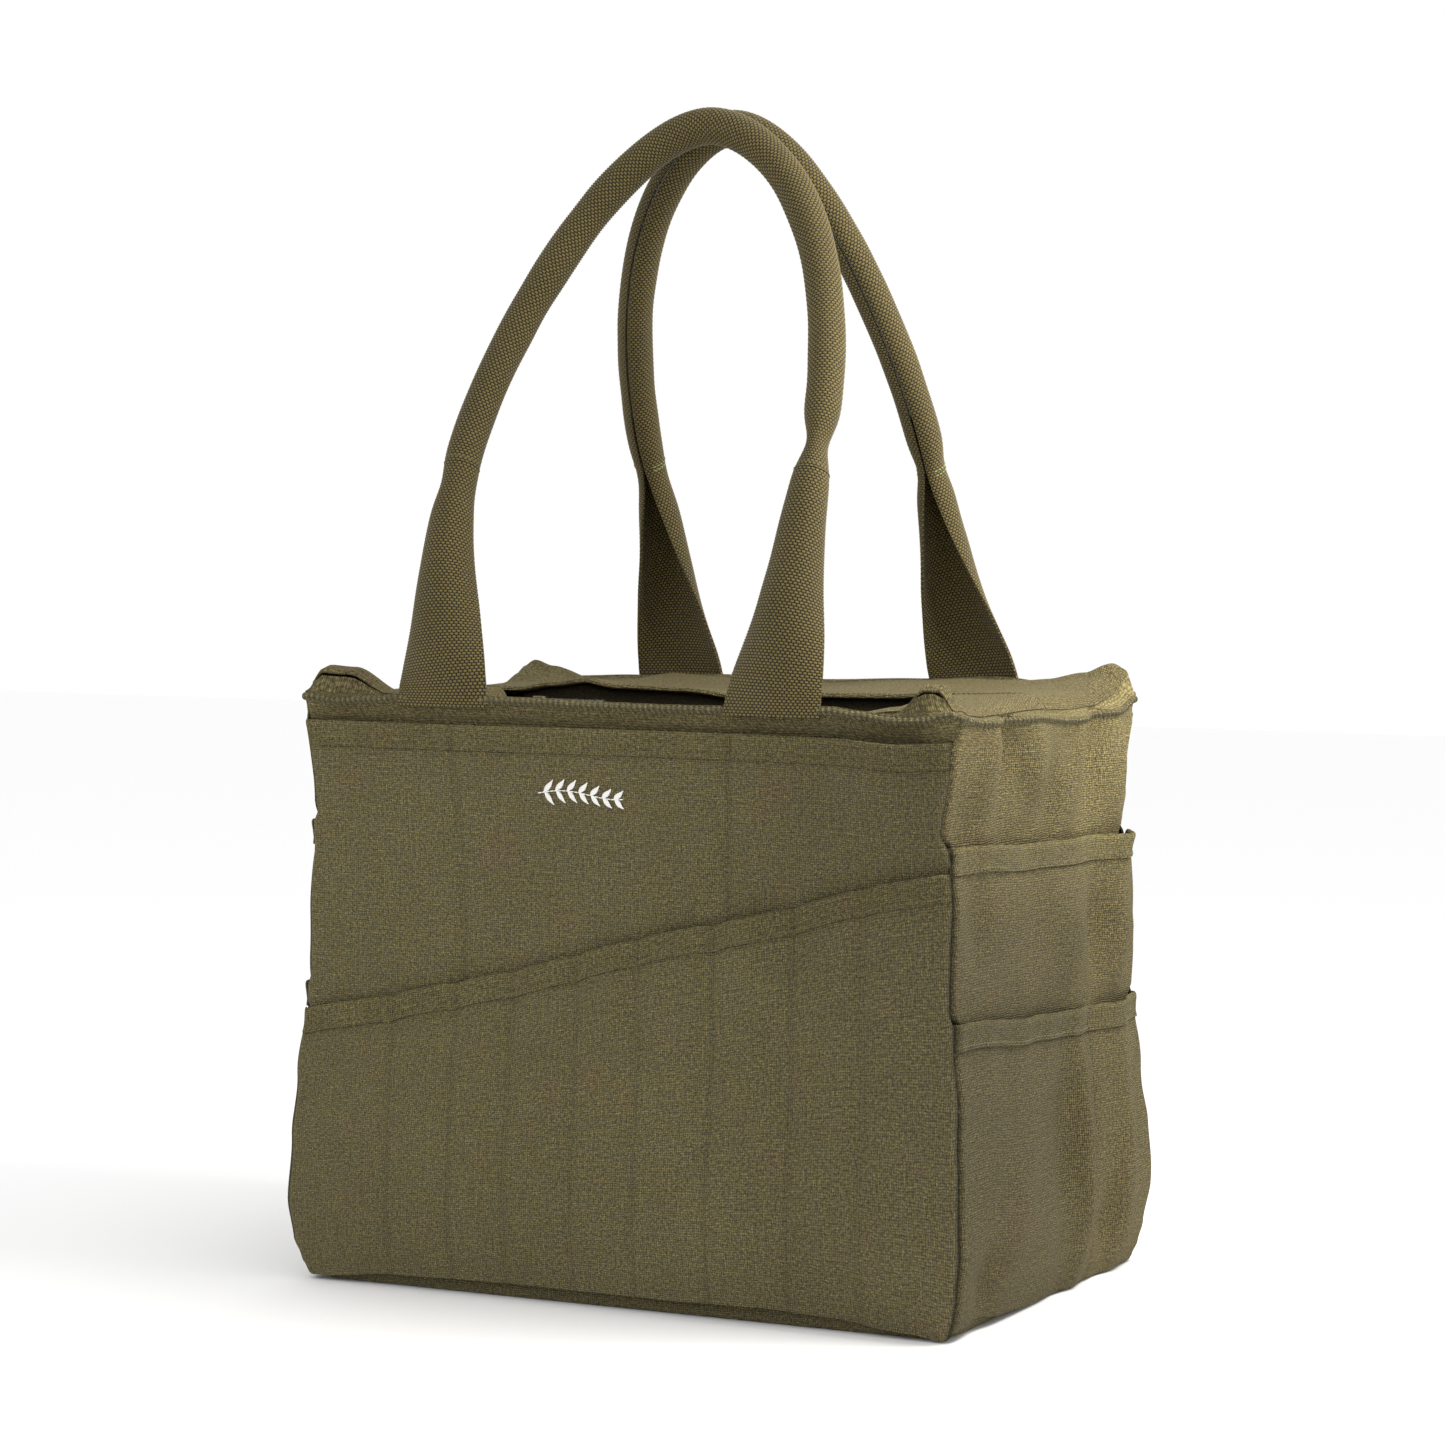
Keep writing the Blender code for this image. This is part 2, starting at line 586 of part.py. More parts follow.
def handle_path(feet, apex, sway, bow):
    """(x, height) from the left foot, over the arch, to the right foot."""
    middle = (feet[0] + feet[1]) / 2
    half = (feet[1] - feet[0]) / 2
    leg = []
    for i in range(LEG_STEPS):
        t = i / LEG_STEPS
        leg.append((half + bow * math.sin(math.pi * t / 2), LEG_HEIGHT * t))
    arch = []
    for i in range(ARCH_STEPS // 2):
        angle = math.pi / 2 * (1 - i / (ARCH_STEPS // 2))
        across = math.sin(angle) ** (2 / ARCH_EXPONENT)
        up = max(0.0, math.cos(angle)) ** (2 / ARCH_EXPONENT)
        arch.append(((half + bow) * across, LEG_HEIGHT + (HANDLE_RISE - LEG_HEIGHT) * up))
    right = leg + arch
    left = [(-x, height) for x, height in right]
    path = []
    for x, height in left + [(0.0, HANDLE_RISE)] + right[::-1]:
        t = height / HANDLE_RISE
        shift = middle + (apex - middle) * t + sway * math.sin(math.pi * t ** SWAY_EXPONENT)
        path.append((shift + x, height))
    return path


def curl_at(height):
    """Angle the strap's width wraps around: flat at the feet, almost a full turn above the legs."""
    t = min(1.0, height / LEG_HEIGHT)
    return FULL_CURL * max(t, FLAT_LEG) ** ROLL_GROWTH


def build_handle(side, sign, feet, apex, sway, bow):
    """A flat strap rolled into a tube with its seam facing the other handle, around a filler cord."""
    axis = axis_empty(side + "_handle_axis", (0, sign * FOOT_Y, HINGE_Z))
    path = handle_path(feet, apex, sway, bow)
    centres = [Vector((x, -sign * lean_at(height), height + FOOT_AXIS_DROP)) for x, height in path]
    outward = Vector((0, sign, 0))
    bm = bmesh.new()
    rows = []
    for i, centre in enumerate(centres):
        tangent = (centres[min(i + 1, len(centres) - 1)] - centres[max(i - 1, 0)]).normalized()
        normal = (outward - outward.project(tangent)).normalized()
        if i in (0, len(centres) - 1):
            tangent, normal = Vector((0, 0, tangent.z)).normalized(), outward
        across = tangent.cross(normal)
        curl = curl_at(centre.z - FOOT_AXIS_DROP)
        radius = STRAP_WIDTH / curl
        middle = math.sin(curl / 2) / (curl / 2)
        row = []
        for k in range(CURL_STEPS + 1):
            angle = curl * (k / CURL_STEPS - 0.5)
            place = centre + radius * (math.sin(angle) * across + (math.cos(angle) - middle) * normal)
            row.append(bm.verts.new(place))
        rows.append(row)
    for row, following in zip(rows, rows[1:]):
        for k in range(CURL_STEPS):
            bm.faces.new((row[k], row[k + 1], following[k + 1], following[k]))
    mesh = bpy.data.meshes.new(side + "_handle_strap")
    bm.to_mesh(mesh)
    bm.free()
    strap = link_to(bpy.data.objects.new(side + "_handle_strap", mesh), PARTS, WEBBING_OLIVE, axis)
    thickness = strap.modifiers.new("thickness", "SOLIDIFY")
    thickness.thickness = STRAP_THICKNESS
    thickness.offset = 0.0
    thickness.use_even_offset = True
    mesh.shade_smooth()
    rolled = centres[LEG_STEPS:-LEG_STEPS]
    core_radius = TUBE_RADIUS - STRAP_THICKNESS / 2 - CORE_CLEARANCE
    round_bar(side + "_handle_core", rolled, core_radius, CORD_WHITE, axis)


build_base()
build_walls()
build_pockets()
build_top_edge()
build_cover()
build_handle("front", -1, FRONT_FEET, FRONT_APEX, FRONT_SWAY, FRONT_BOW)
build_handle("back", 1, BACK_FEET, BACK_APEX, BACK_SWAY, BACK_BOW)
bpy.data.collections.remove(CUTTERS)
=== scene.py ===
"""Garden tool bag: looks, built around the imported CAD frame. Metres, +Z up, front -Y."""
import math

import bpy
import numpy as np
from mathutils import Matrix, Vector


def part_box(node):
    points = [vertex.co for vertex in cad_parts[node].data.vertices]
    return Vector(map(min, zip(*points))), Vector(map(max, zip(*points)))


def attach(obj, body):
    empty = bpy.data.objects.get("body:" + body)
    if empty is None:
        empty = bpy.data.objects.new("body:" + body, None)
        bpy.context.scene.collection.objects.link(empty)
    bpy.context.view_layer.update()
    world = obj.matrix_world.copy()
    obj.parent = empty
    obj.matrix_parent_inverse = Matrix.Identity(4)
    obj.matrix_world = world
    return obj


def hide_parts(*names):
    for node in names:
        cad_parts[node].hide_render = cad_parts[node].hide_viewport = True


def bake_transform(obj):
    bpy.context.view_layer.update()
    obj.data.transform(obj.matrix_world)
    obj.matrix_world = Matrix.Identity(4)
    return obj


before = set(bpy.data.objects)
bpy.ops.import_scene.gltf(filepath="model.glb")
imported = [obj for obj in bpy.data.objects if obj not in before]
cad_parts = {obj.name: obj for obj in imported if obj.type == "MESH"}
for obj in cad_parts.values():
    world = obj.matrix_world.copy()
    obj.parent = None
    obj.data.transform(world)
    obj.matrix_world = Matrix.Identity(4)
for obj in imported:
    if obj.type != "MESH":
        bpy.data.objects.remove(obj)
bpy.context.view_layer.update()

# ---- sizes, from the frame where it has them -----------------------------------------------------
LOWER_OUT, UPPER_OUT = 0.0128, 0.0064           # how far each pocket layer stands outside the wall
CORE_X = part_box("right_lower_pocket")[1].x - LOWER_OUT
CORE_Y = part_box("back_lower_pocket")[1].y - LOWER_OUT
TOP = 0.285                                     # height of the sewn top edge
FLARE_START, FLARE_X, FLARE_Y = 0.21, 0.055, 0.08
FOLD_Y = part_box("cover_back_flap")[1].y         # fold line of each cover half, from the middle
COVER_EDGE = 0.0085                             # free edge of a cover half when it lies flat
DROOP = math.radians(25.0)                      # the front half hangs by this much
SLIT_START = -0.1258                            # left end of the slit between the cover's halves
BINDING = 0.0125                                # height of the bindings
FRONT_SLOPE, FRONT_LOW = 0.251, 0.1736          # the slanted row's edge: slope, and height in the middle
FRONT_DIVIDERS = (-0.124, -0.089, -0.0583, -0.0223, 0.0116, 0.0517, 0.0931, 0.13)
UPPER_DIVIDERS = (-0.0865, 0.0578)
FOOT_Y, RISE = 0.1135, 0.2845                   # a handle's foot, and its height over the top edge
STRAP, STRAP_THICK, TUBE, LEG = 0.05, 0.0016, 0.0082, 0.118
BUMP_PITCH, ROW_PITCH = 0.0022, 0.0014          # webbing bumps across and along the strap


# ---- numbers -------------------------------------------------------------------------------------
def smooth(t):
    t = np.clip(t, 0.0, 1.0)
    return t * t * (3.0 - 2.0 * t)


def table(x, knots):
    """Smooth steps between (place, value) pairs."""
    xs, ys = (np.array(c, float) for c in zip(*knots))
    x = np.asarray(x, float)
    i = np.clip(np.searchsorted(xs, x) - 1, 0, len(xs) - 2)
    return ys[i] + (ys[i + 1] - ys[i]) * smooth((x - xs[i]) / (xs[i + 1] - xs[i]))


def noise(p, cell, seed):
    """Smooth value noise from -1 to 1 at points of shape (..., 3)."""
    lattice = np.random.default_rng(seed).uniform(-1, 1, (32, 32, 32))
    q = np.asarray(p) / cell + 16.0
    i = np.floor(q).astype(int)
    f = smooth(q - i)
    out = 0.0
    for corner in np.ndindex(2, 2, 2):
        weight = np.prod(np.where(corner, f, 1 - f), axis=-1)
        out = out + weight * lattice[tuple(np.moveaxis((i + corner) % 32, -1, 0))]
    return out


def stack(x, y, z):
    return np.stack(np.broadcast_arrays(x, y, z), axis=-1)


def unit(v):
    return v / np.linalg.norm(v, axis=-1, keepdims=True)


def travel_along(points):
    """Distance from a line's first point to each of its points."""
    return np.concatenate([[0.0], np.cumsum(np.linalg.norm(np.diff(points, axis=0), axis=1))])


def interpolate(marks, travel, values):
    """What a line has at other distances along it."""
    return np.stack([np.interp(marks, travel, values[:, i]) for i in range(3)], 1)


def resample_ring(points, count):
    """A closed line cut into equal steps, with the distances and the whole way round."""
    closed = np.concatenate([points, points[:1]])
    travel = travel_along(closed)
    marks = np.linspace(0, travel[-1], count + 1)[:-1]
    return interpolate(marks, travel, closed), marks, travel[-1]


# ---- the body's shape ----------------------------------------------------------------------------
GIRTH = ((0.0, -0.0016), (0.004, -0.0004), (0.01, 0.001), (0.02, 0.003), (0.04, 0.005), (0.07, 0.0034),
         (0.1, 0.0006), (0.13, -0.0012), (0.16, 0.0), (0.3, 0.0))
# how far each end of the bag bulges past the stiff outline, by height
LONGER = ((0.0, 0.0045), (0.012, 0.006), (0.04, 0.0066), (0.08, 0.0072), (0.12, 0.009), (0.16, 0.0112),
          (0.21, 0.0122), (0.25, 0.0112), (0.285, 0.01), (0.4, 0.01))
TALLER = 1.009
# soft dents and bulges shared by all layers: place along the side, height, reach along and up, and push
RIGHT_DENTS = (
    (-0.078, 0.262, 0.01, 0.026, 0.0049), (-0.052, 0.256, 0.011, 0.034, -0.007),
    (-0.022, 0.252, 0.012, 0.022, 0.0043), (0.006, 0.24, 0.012, 0.024, -0.0064),
    (0.034, 0.258, 0.009, 0.022, 0.0058), (0.06, 0.262, 0.01, 0.03, -0.0061),
    (0.088, 0.25, 0.013, 0.03, 0.0043), (-0.085, 0.19, 0.014, 0.02, -0.0046),
    (0.02, 0.178, 0.02, 0.022, 0.0068), (0.062, 0.172, 0.012, 0.026, -0.0064),
    (0.086, 0.168, 0.01, 0.022, 0.0053), (0.03, 0.07, 0.008, 0.06, 0.006),
    (0.01, 0.07, 0.012, 0.06, -0.0046), (0.082, 0.06, 0.012, 0.05, 0.0068),
    (0.066, 0.028, 0.01, 0.022, -0.0049), (-0.05, 0.05, 0.026, 0.03, 0.0038),
    (-0.085, 0.022, 0.012, 0.016, -0.0042),
)
LEFT_DENTS = (
    (-0.03, 0.25, 0.014, 0.03, 0.0058), (0.0, 0.255, 0.012, 0.026, -0.0043),
    (0.04, 0.24, 0.014, 0.03, 0.0052), (-0.05, 0.07, 0.01, 0.05, -0.0043),
    (0.06, 0.17, 0.012, 0.03, -0.0041),
)
FRONT_DENTS = (
    (0.1, 0.255, 0.03, 0.016, 0.0016), (0.13, 0.18, 0.02, 0.034, -0.0014),
    (-0.12, 0.1, 0.04, 0.06, -0.0016), (-0.06, 0.16, 0.026, 0.04, 0.0014),
    (0.06, 0.05, 0.06, 0.04, -0.0014), (0.11, 0.026, 0.018, 0.018, 0.0016),
)
BACK_DENTS = (
    (0.0, 0.23, 0.05, 0.026, -0.0028), (0.11, 0.225, 0.02, 0.03, -0.0022),
    (-0.09, 0.11, 0.03, 0.05, 0.0024), (0.05, 0.12, 0.018, 0.05, -0.002),
    (0.1, 0.07, 0.04, 0.05, 0.0022),
)
# those at the corners: centre, reach and push
CORNER_DENTS = (
    ((0.17, -0.112, 0.233), (0.016, 0.02, 0.016), (-0.004, 0.0, 0.0)),
    ((0.172, -0.118, 0.205), (0.014, 0.018, 0.014), (0.0012, 0.0, 0.0)),
    ((-0.172, -0.112, 0.24), (0.02, 0.02, 0.018), (0.0026, 0.0, 0.0)),
)
DENT_REACH, END_FACE, LONG_FACE = 0.04, 0.172, 0.118
DENTS = CORNER_DENTS + tuple(
    ((way * END_FACE, y, z), (DENT_REACH, wide, tall), (push, 0.0, 0.0))
    for way, dents in ((1, RIGHT_DENTS), (-1, LEFT_DENTS)) for y, z, wide, tall, push in dents
) + tuple(
    ((x, way * LONG_FACE, z), (wide, DENT_REACH, tall), (0.0, push, 0.0))
    for way, dents in ((-1, FRONT_DENTS), (1, BACK_DENTS)) for x, z, wide, tall, push in dents
)
ORDER = ("front", "right", "back", "left")
SIDES = {"front": (0.0, True), "right": (math.pi / 2, False), "back": (math.pi, True),
         "left": (-math.pi / 2, False)}
# height of each pocket row's mouth at the side's left and right corner
LOWER_TOPS = {"front": (0.1304, 0.2168), "right": (0.1466, 0.1364), "back": (0.1736, 0.1736),
              "left": (0.1364, 0.1466)}
UPPER_TOPS = {"front": (0.2755, 0.2738), "right": (0.2269, 0.2182), "back": (0.2755, 0.2755),
              "left": (0.2182, 0.2269)}
ROLL, ROLL_IN = 0.0034, 0.0026                  # corner roll of a panel: radius, and how far it keeps back
ROLL_END = math.pi / 4 + math.asin(ROLL_IN / ROLL / math.sqrt(2))


def flare(z):
    rise = np.clip((np.asarray(z) - FLARE_START) / (TOP - FLARE_START), 0.0, 1.2) ** 1.15
    return 1 + FLARE_X * rise, 1 + FLARE_Y * rise


def settle(p):
    """Soft unevenness that every layer of the body shares."""
    x, y, z = p[..., 0], p[..., 1], p[..., 2]
    nx, ny = np.sign(x) * np.abs(x / 0.168) ** 6, np.sign(y) * np.abs(y / 0.113) ** 6
    length = np.hypot(nx, ny) + 1e-9
    hold = smooth((z - 0.004) / 0.02)
    amount = hold * (0.0013 * noise(p * (1, 1, 0.6), 0.05, 3) + 0.0006 * noise(p * (1, 1, 0.7), 0.021, 4))
    lean = stack(0.0 * x, y + 0.55 * np.abs(z - 0.235), 0.3 * z)
    ends = np.clip(np.abs(x) / 0.168, 0, 1) ** 8 * hold * smooth((0.292 - z) / 0.024)
    amount = amount + ends * (0.0014 + 0.003 * smooth((z - 0.2) / 0.03)) * noise(lean, 0.024, 9)
    out = p + amount[..., None] * stack(nx / length, ny / length, 0.0)
    for centre, reach, push in DENTS:
        fall = np.exp(-(((p - np.array(centre)) / np.array(reach)) ** 2).sum(-1))
        out = out + fall[..., None] * np.array(push)
    return out


def lengthen(p, height=None):
    """Fill the bag out a little: its ends bulge and its top rises, the middle stays where it is."""
    x, z = p[..., 0], p[..., 2] if height is None else height
    out = np.array(p)
    out[..., 0] = x + np.sign(x) * table(z, LONGER) * smooth((np.abs(x) - 0.128) / 0.032)
    out[..., 2] *= TALLER
    return out


def shorten(x):
    """The X that the bulge at the top edge takes to this X."""
    inner = np.linspace(0, 0.2, 401)
    outer = lengthen(stack(inner, 0, TOP))[:, 0]
    return np.sign(x) * np.interp(np.abs(x), outer, inner)


def layer_depth(level, z, top):
    """How far a pocket's panel stands outside the wall: it closes in toward its mouth."""
    mouth = smooth(1 - (top - z) / 0.045)
    if level == "lower":
        return LOWER_OUT - 0.0028 * mouth + table(z, GIRTH)
    return UPPER_OUT - 0.0024 * mouth + 0.3 * np.minimum(table(z, GIRTH), 0)


def outer_depth(side, end, z):
    """Depth of a side's outermost layer at its left (0) or right (1) corner."""
    lower, upper = LOWER_TOPS[side][end], UPPER_TOPS[side][end]
    depth = smooth((upper + 0.005 - z) / 0.009) * layer_depth("upper", z, upper)
    return depth + smooth((lower + 0.005 - z) / 0.009) * (layer_depth("lower", z, lower) - depth)


def corner_depth(side, end, layer, z):
    """Depth of the neighbouring side where a layer meets it: the seam takes in every layer outside it."""
    step = 1 if end else -1
    outer = outer_depth(ORDER[(ORDER.index(side) + step) % 4], 1 - end, z)
    if layer == "lower":
        return outer
    if layer == "lining":
        return -0.0022 + 0 * outer
    top = (LOWER_TOPS if layer == "upper" else UPPER_TOPS)[side][end]
    hidden = np.minimum(outer, UPPER_OUT - 0.0012 if layer == "upper" else 0.0)
    return hidden + (outer - hidden) * smooth((z - top + 0.004) / 0.008)


def face_half(side, z):
    """Half length of a face's flat part, at the depth of the upper pockets."""
    long_face = SIDES[side][1]
    return ((CORE_X if long_face else CORE_Y) + UPPER_OUT) * flare(z)[0 if long_face else 1] - ROLL - ROLL_IN


def around(side, k, z, depth, layer):
    """Points on one side of the bag: k from -1 to 1 along the flat face, to +-2 round the corner's roll."""
    turn, long_face = SIDES[side]
    fx, fy = flare(z)
    half, distance = (CORE_X, CORE_Y) if long_face else (CORE_Y, CORE_X)
    f_half, f_dist = (fx, fy) if long_face else (fy, fx)
    k, z = np.broadcast_arrays(np.asarray(k, float), np.asarray(z, float))
    corner = np.where(k < 0, corner_depth(side, 0, layer, z), corner_depth(side, 1, layer, z))
    base = face_half(side, z)
    extra = (half + corner) * f_half - ROLL - ROLL_IN - base
    flat = np.minimum(np.abs(k), 1)
    phi = np.clip(np.abs(k) - 1, 0, 1) * ROLL_END
    u = np.sign(k) * (flat * base + extra * smooth((flat - 0.8) / 0.2) + ROLL * np.sin(phi))
    v = (distance + depth) * f_dist - ROLL * (1 - np.cos(phi))
    c, s = math.cos(turn), math.sin(turn)
    return lengthen(settle(stack(c * u + s * v, s * u - c * v, z)))


# ---- meshes --------------------------------------------------------------------------------------
def make_object(name, verts, faces, uv=None, shade_and_tone=None, material=None, sharp=50.0):
    """A smooth-shaded mesh object. uv holds metres along the cloth; the per-point factor on its colour holds
    mostly painted light and shade.
    """
    mesh = bpy.data.meshes.new(name)
    mesh.from_pydata(verts, [], faces)
    if uv is not None:
        index = np.empty(len(mesh.loops), np.int32)
        mesh.loops.foreach_get("vertex_index", index)
        mesh.uv_layers.new(name="UVMap").data.foreach_set("uv", np.asarray(uv, np.float32)[index].ravel())
    if shade_and_tone is not None:
        tone_data = mesh.attributes.new("shade_and_tone", "FLOAT", "POINT").data
        tone_data.foreach_set("value", np.asarray(shade_and_tone, np.float32).ravel())
    mesh.polygons.foreach_set("use_smooth", np.ones(len(mesh.polygons), bool))
    mesh.set_sharp_from_angle(angle=math.radians(sharp))
    mesh.validate()
    mesh.materials.append(material)
    obj = bpy.data.objects.new(name, mesh)
    bpy.context.scene.collection.objects.link(obj)
    return obj


def grid_normals(grid, loop=False):
    across = (np.roll(grid, -1, 1) - np.roll(grid, 1, 1)) if loop else np.gradient(grid, axis=1)
    along = np.gradient(grid, axis=0)
    normal = np.cross(across, along)
    return normal / np.maximum(np.linalg.norm(normal, axis=-1, keepdims=True), 1e-12)


def grid_faces(rows, columns, loop=False, start=0, flip=False):
    r = np.arange(rows - 1)[:, None]
    c = np.arange(columns if loop else columns - 1)[None, :]
    n = (c + 1) % columns
    quad = np.stack([r * columns + c, r * columns + n, (r + 1) * columns + n, (r + 1) * columns + c], -1)
    quad = quad.reshape(-1, 4)
    return start + (quad[:, ::-1] if flip else quad)


def shell(name, grid, thickness, material, shade_and_tone=None, loop=False):
    """A sheet of cloth, thick inward. The grid is its outer face: columns to the right, rows upward."""
    rows, columns = grid.shape[:2]
    inner = grid - grid_normals(grid, loop) * thickness
    verts = np.concatenate([grid, inner]).reshape(-1, 3)
    n = rows * columns
    faces = [grid_faces(rows, columns, loop), grid_faces(rows, columns, loop, n, True)]
    index = np.arange(n).reshape(rows, columns)
    if loop:
        rims = [np.append(index[0], index[0, 0])[::-1], np.append(index[-1], index[-1, 0])]
    else:
        rims = [index[0, ::-1], index[-1], index[:, 0], index[::-1, -1]]
    for rim in rims:
        faces.append(np.stack([rim[:-1], rim[:-1] + n, rim[1:] + n, rim[1:]], -1)[:, ::-1])
    shade_and_tone = np.ones(n) if shade_and_tone is None else np.ravel(shade_and_tone)
    uv = np.tile(grid_uv(grid).reshape(-1, 2), (2, 1))
    return make_object(name, verts, np.concatenate(faces), uv, np.tile(shade_and_tone, 2), material)


def grid_uv(grid):
    """Metres along the columns and rows of a grid."""
    across = np.linalg.norm(np.diff(grid, axis=1), axis=-1)
    across = np.concatenate([np.zeros((len(grid), 1)), np.cumsum(across, axis=1)], axis=1)
    across -= across[:, across.shape[1] // 2][:, None]
    along = np.linalg.norm(np.diff(grid, axis=0), axis=-1).mean(1)
    along = np.concatenate([[0.0], np.cumsum(along)])
    return stack(across, along[:, None] + 0 * across, 0)[..., :2]


# places along a stitch from its middle, and its radius there, both as shares
CAPSULE = [(math.cos(math.pi * i / 5) * -0.5, math.sin(math.pi * i / 5) ** 0.7 * 0.5) for i in range(1, 5)]


def stitches(name, runs, width, material, fill=0.78, sink=0.25):
    """Thread stitches lying along runs of (start, end, surface normal)."""
    start, end, normal = (np.array(part, float) for part in zip(*runs))
    side = np.cross(normal, unit(end - start))
    side /= np.maximum(np.linalg.norm(side, axis=1, keepdims=True), 1e-9)
    up = np.cross(unit(end - start), side)
    middle = (start + end) / 2 + up * width * (0.5 - sink)
    reach, low = (end - start) * fill, up * width * 0.25
    points = [middle - reach / 2 - low]
    for x, r in CAPSULE:
        for a in np.arange(6) * math.pi / 3:
            points.append(middle + reach * x + (side * math.cos(a) + up * math.sin(a)) * r * width)
    points.append(middle + reach / 2 - low)
    pairs = [(j, (j + 1) % 6) for j in range(6)]
    last = len(points) - 1
    one = [(0, 1 + k, 1 + j) for j, k in pairs] + [(last - 6 + j, last - 6 + k, last) for j, k in pairs]
    one += [(a + j, a + k, a + 6 + k, a + 6 + j) for a in range(1, last - 6, 6) for j, k in pairs]
    faces = [[first + i for i in face]
             for first in range(0, len(runs) * len(points), len(points)) for face in one]
    return make_object(name, np.stack(points, 1).reshape(-1, 3), faces, material=material, sharp=180.0)


def run_along(points, normals, pitch):
    """Cut a line on the cloth into stitches of one pitch."""
    travel = travel_along(points)
    marks = np.linspace(0, travel[-1], max(1, int(travel[-1] / pitch)) + 1)
    at, up = interpolate(marks, travel, points), interpolate(marks, travel, normals)
    return list(zip(at[:-1], at[1:], up[:-1]))


# ---- materials -----------------------------------------------------------------------------------
class Graph:
    """Short forms for building a shader."""

    def __init__(self, name, roughness, metallic=0.0, sheen=0.0, specular=0.25):
        self.material = bpy.data.materials.new(name)
        self.material.use_nodes = True
        self.tree = self.material.node_tree
        self.shader = self.tree.nodes["Principled BSDF"]
        self.fix(self.shader, {"Roughness": roughness, "Metallic": metallic, "Sheen Weight": sheen,
                               "Specular IOR Level": specular})

    def fix(self, node, values):
        for socket, value in values.items():
            node.inputs[socket].default_value = value
        return node

    def node(self, kind, vector=None, values={}, **settings):
        node = self.tree.nodes.new(kind)
        for key, value in settings.items():
            setattr(node, key, value)
        if vector is not None:
            self.put(node.inputs[0], vector)
        return self.fix(node, values)

    def put(self, socket, value):
        if isinstance(value, (int, float)):
            socket.default_value = value
        elif isinstance(value, tuple):
            socket.default_value = (*value, 1.0)
        else:
            self.tree.links.new(value, socket)

    def math(self, operation, a, b=0.0, clamp=False):
        node = self.node("ShaderNodeMath", operation=operation, use_clamp=clamp)
        self.put(node.inputs[0], a)
        self.put(node.inputs[1], b)
        return node.outputs[0]

    def add(self, a, b):
        return self.math("ADD", a, b)

    def mul(self, a, b):
        return self.math("MULTIPLY", a, b)

    def mix(self, factor, a, b, blend="MIX"):
        node = self.node("ShaderNodeMix", data_type="RGBA", blend_type=blend)
        for socket, value in zip(("Factor", 6, 7), (factor, a, b)):
            self.put(node.inputs[socket], value)
        return node.outputs[2]

    def shaded(self, tint, shade):
        """A colour times a number."""
        grey = self.node("ShaderNodeCombineColor")
        for socket in grey.inputs:
            self.put(socket, shade)
        return self.mix(1.0, tint, grey.outputs[0], "MULTIPLY")

    def noise(self, vector, scale, detail=2.0, roughness=0.5):
        values = {"Scale": scale, "Detail": detail, "Roughness": roughness}
        return self.node("ShaderNodeTexNoise", vector, values).outputs["Fac"]

    def ramp(self, value, low, high):
        """0 below low, 1 above high."""
        return self.node("ShaderNodeMapRange", value, {"From Min": low, "From Max": high},
                         interpolation_type="SMOOTHSTEP").outputs[0]

    def stretched(self, vector, across, along):
        return self.node("ShaderNodeMapping", vector, {"Scale": (across, along, 1.0)}).outputs[0]

    def place(self):
        return self.node("ShaderNodeTexCoord").outputs["Object"]

    def uv(self):
        """Metres along the cloth, as a vector and as its two numbers."""
        vector = self.node("ShaderNodeUVMap", uv_map="UVMap").outputs[0]
        return vector, *self.node("ShaderNodeSeparateXYZ", vector).outputs[:2]

    def bump(self, height, distance, strength=1.0):
        node = self.node("ShaderNodeBump", values={"Distance": distance, "Strength": strength})
        self.put(node.inputs["Height"], height)
        self.tree.links.new(node.outputs[0], self.shader.inputs["Normal"])

    def colour(self, value):
        self.put(self.shader.inputs["Base Color"], value)


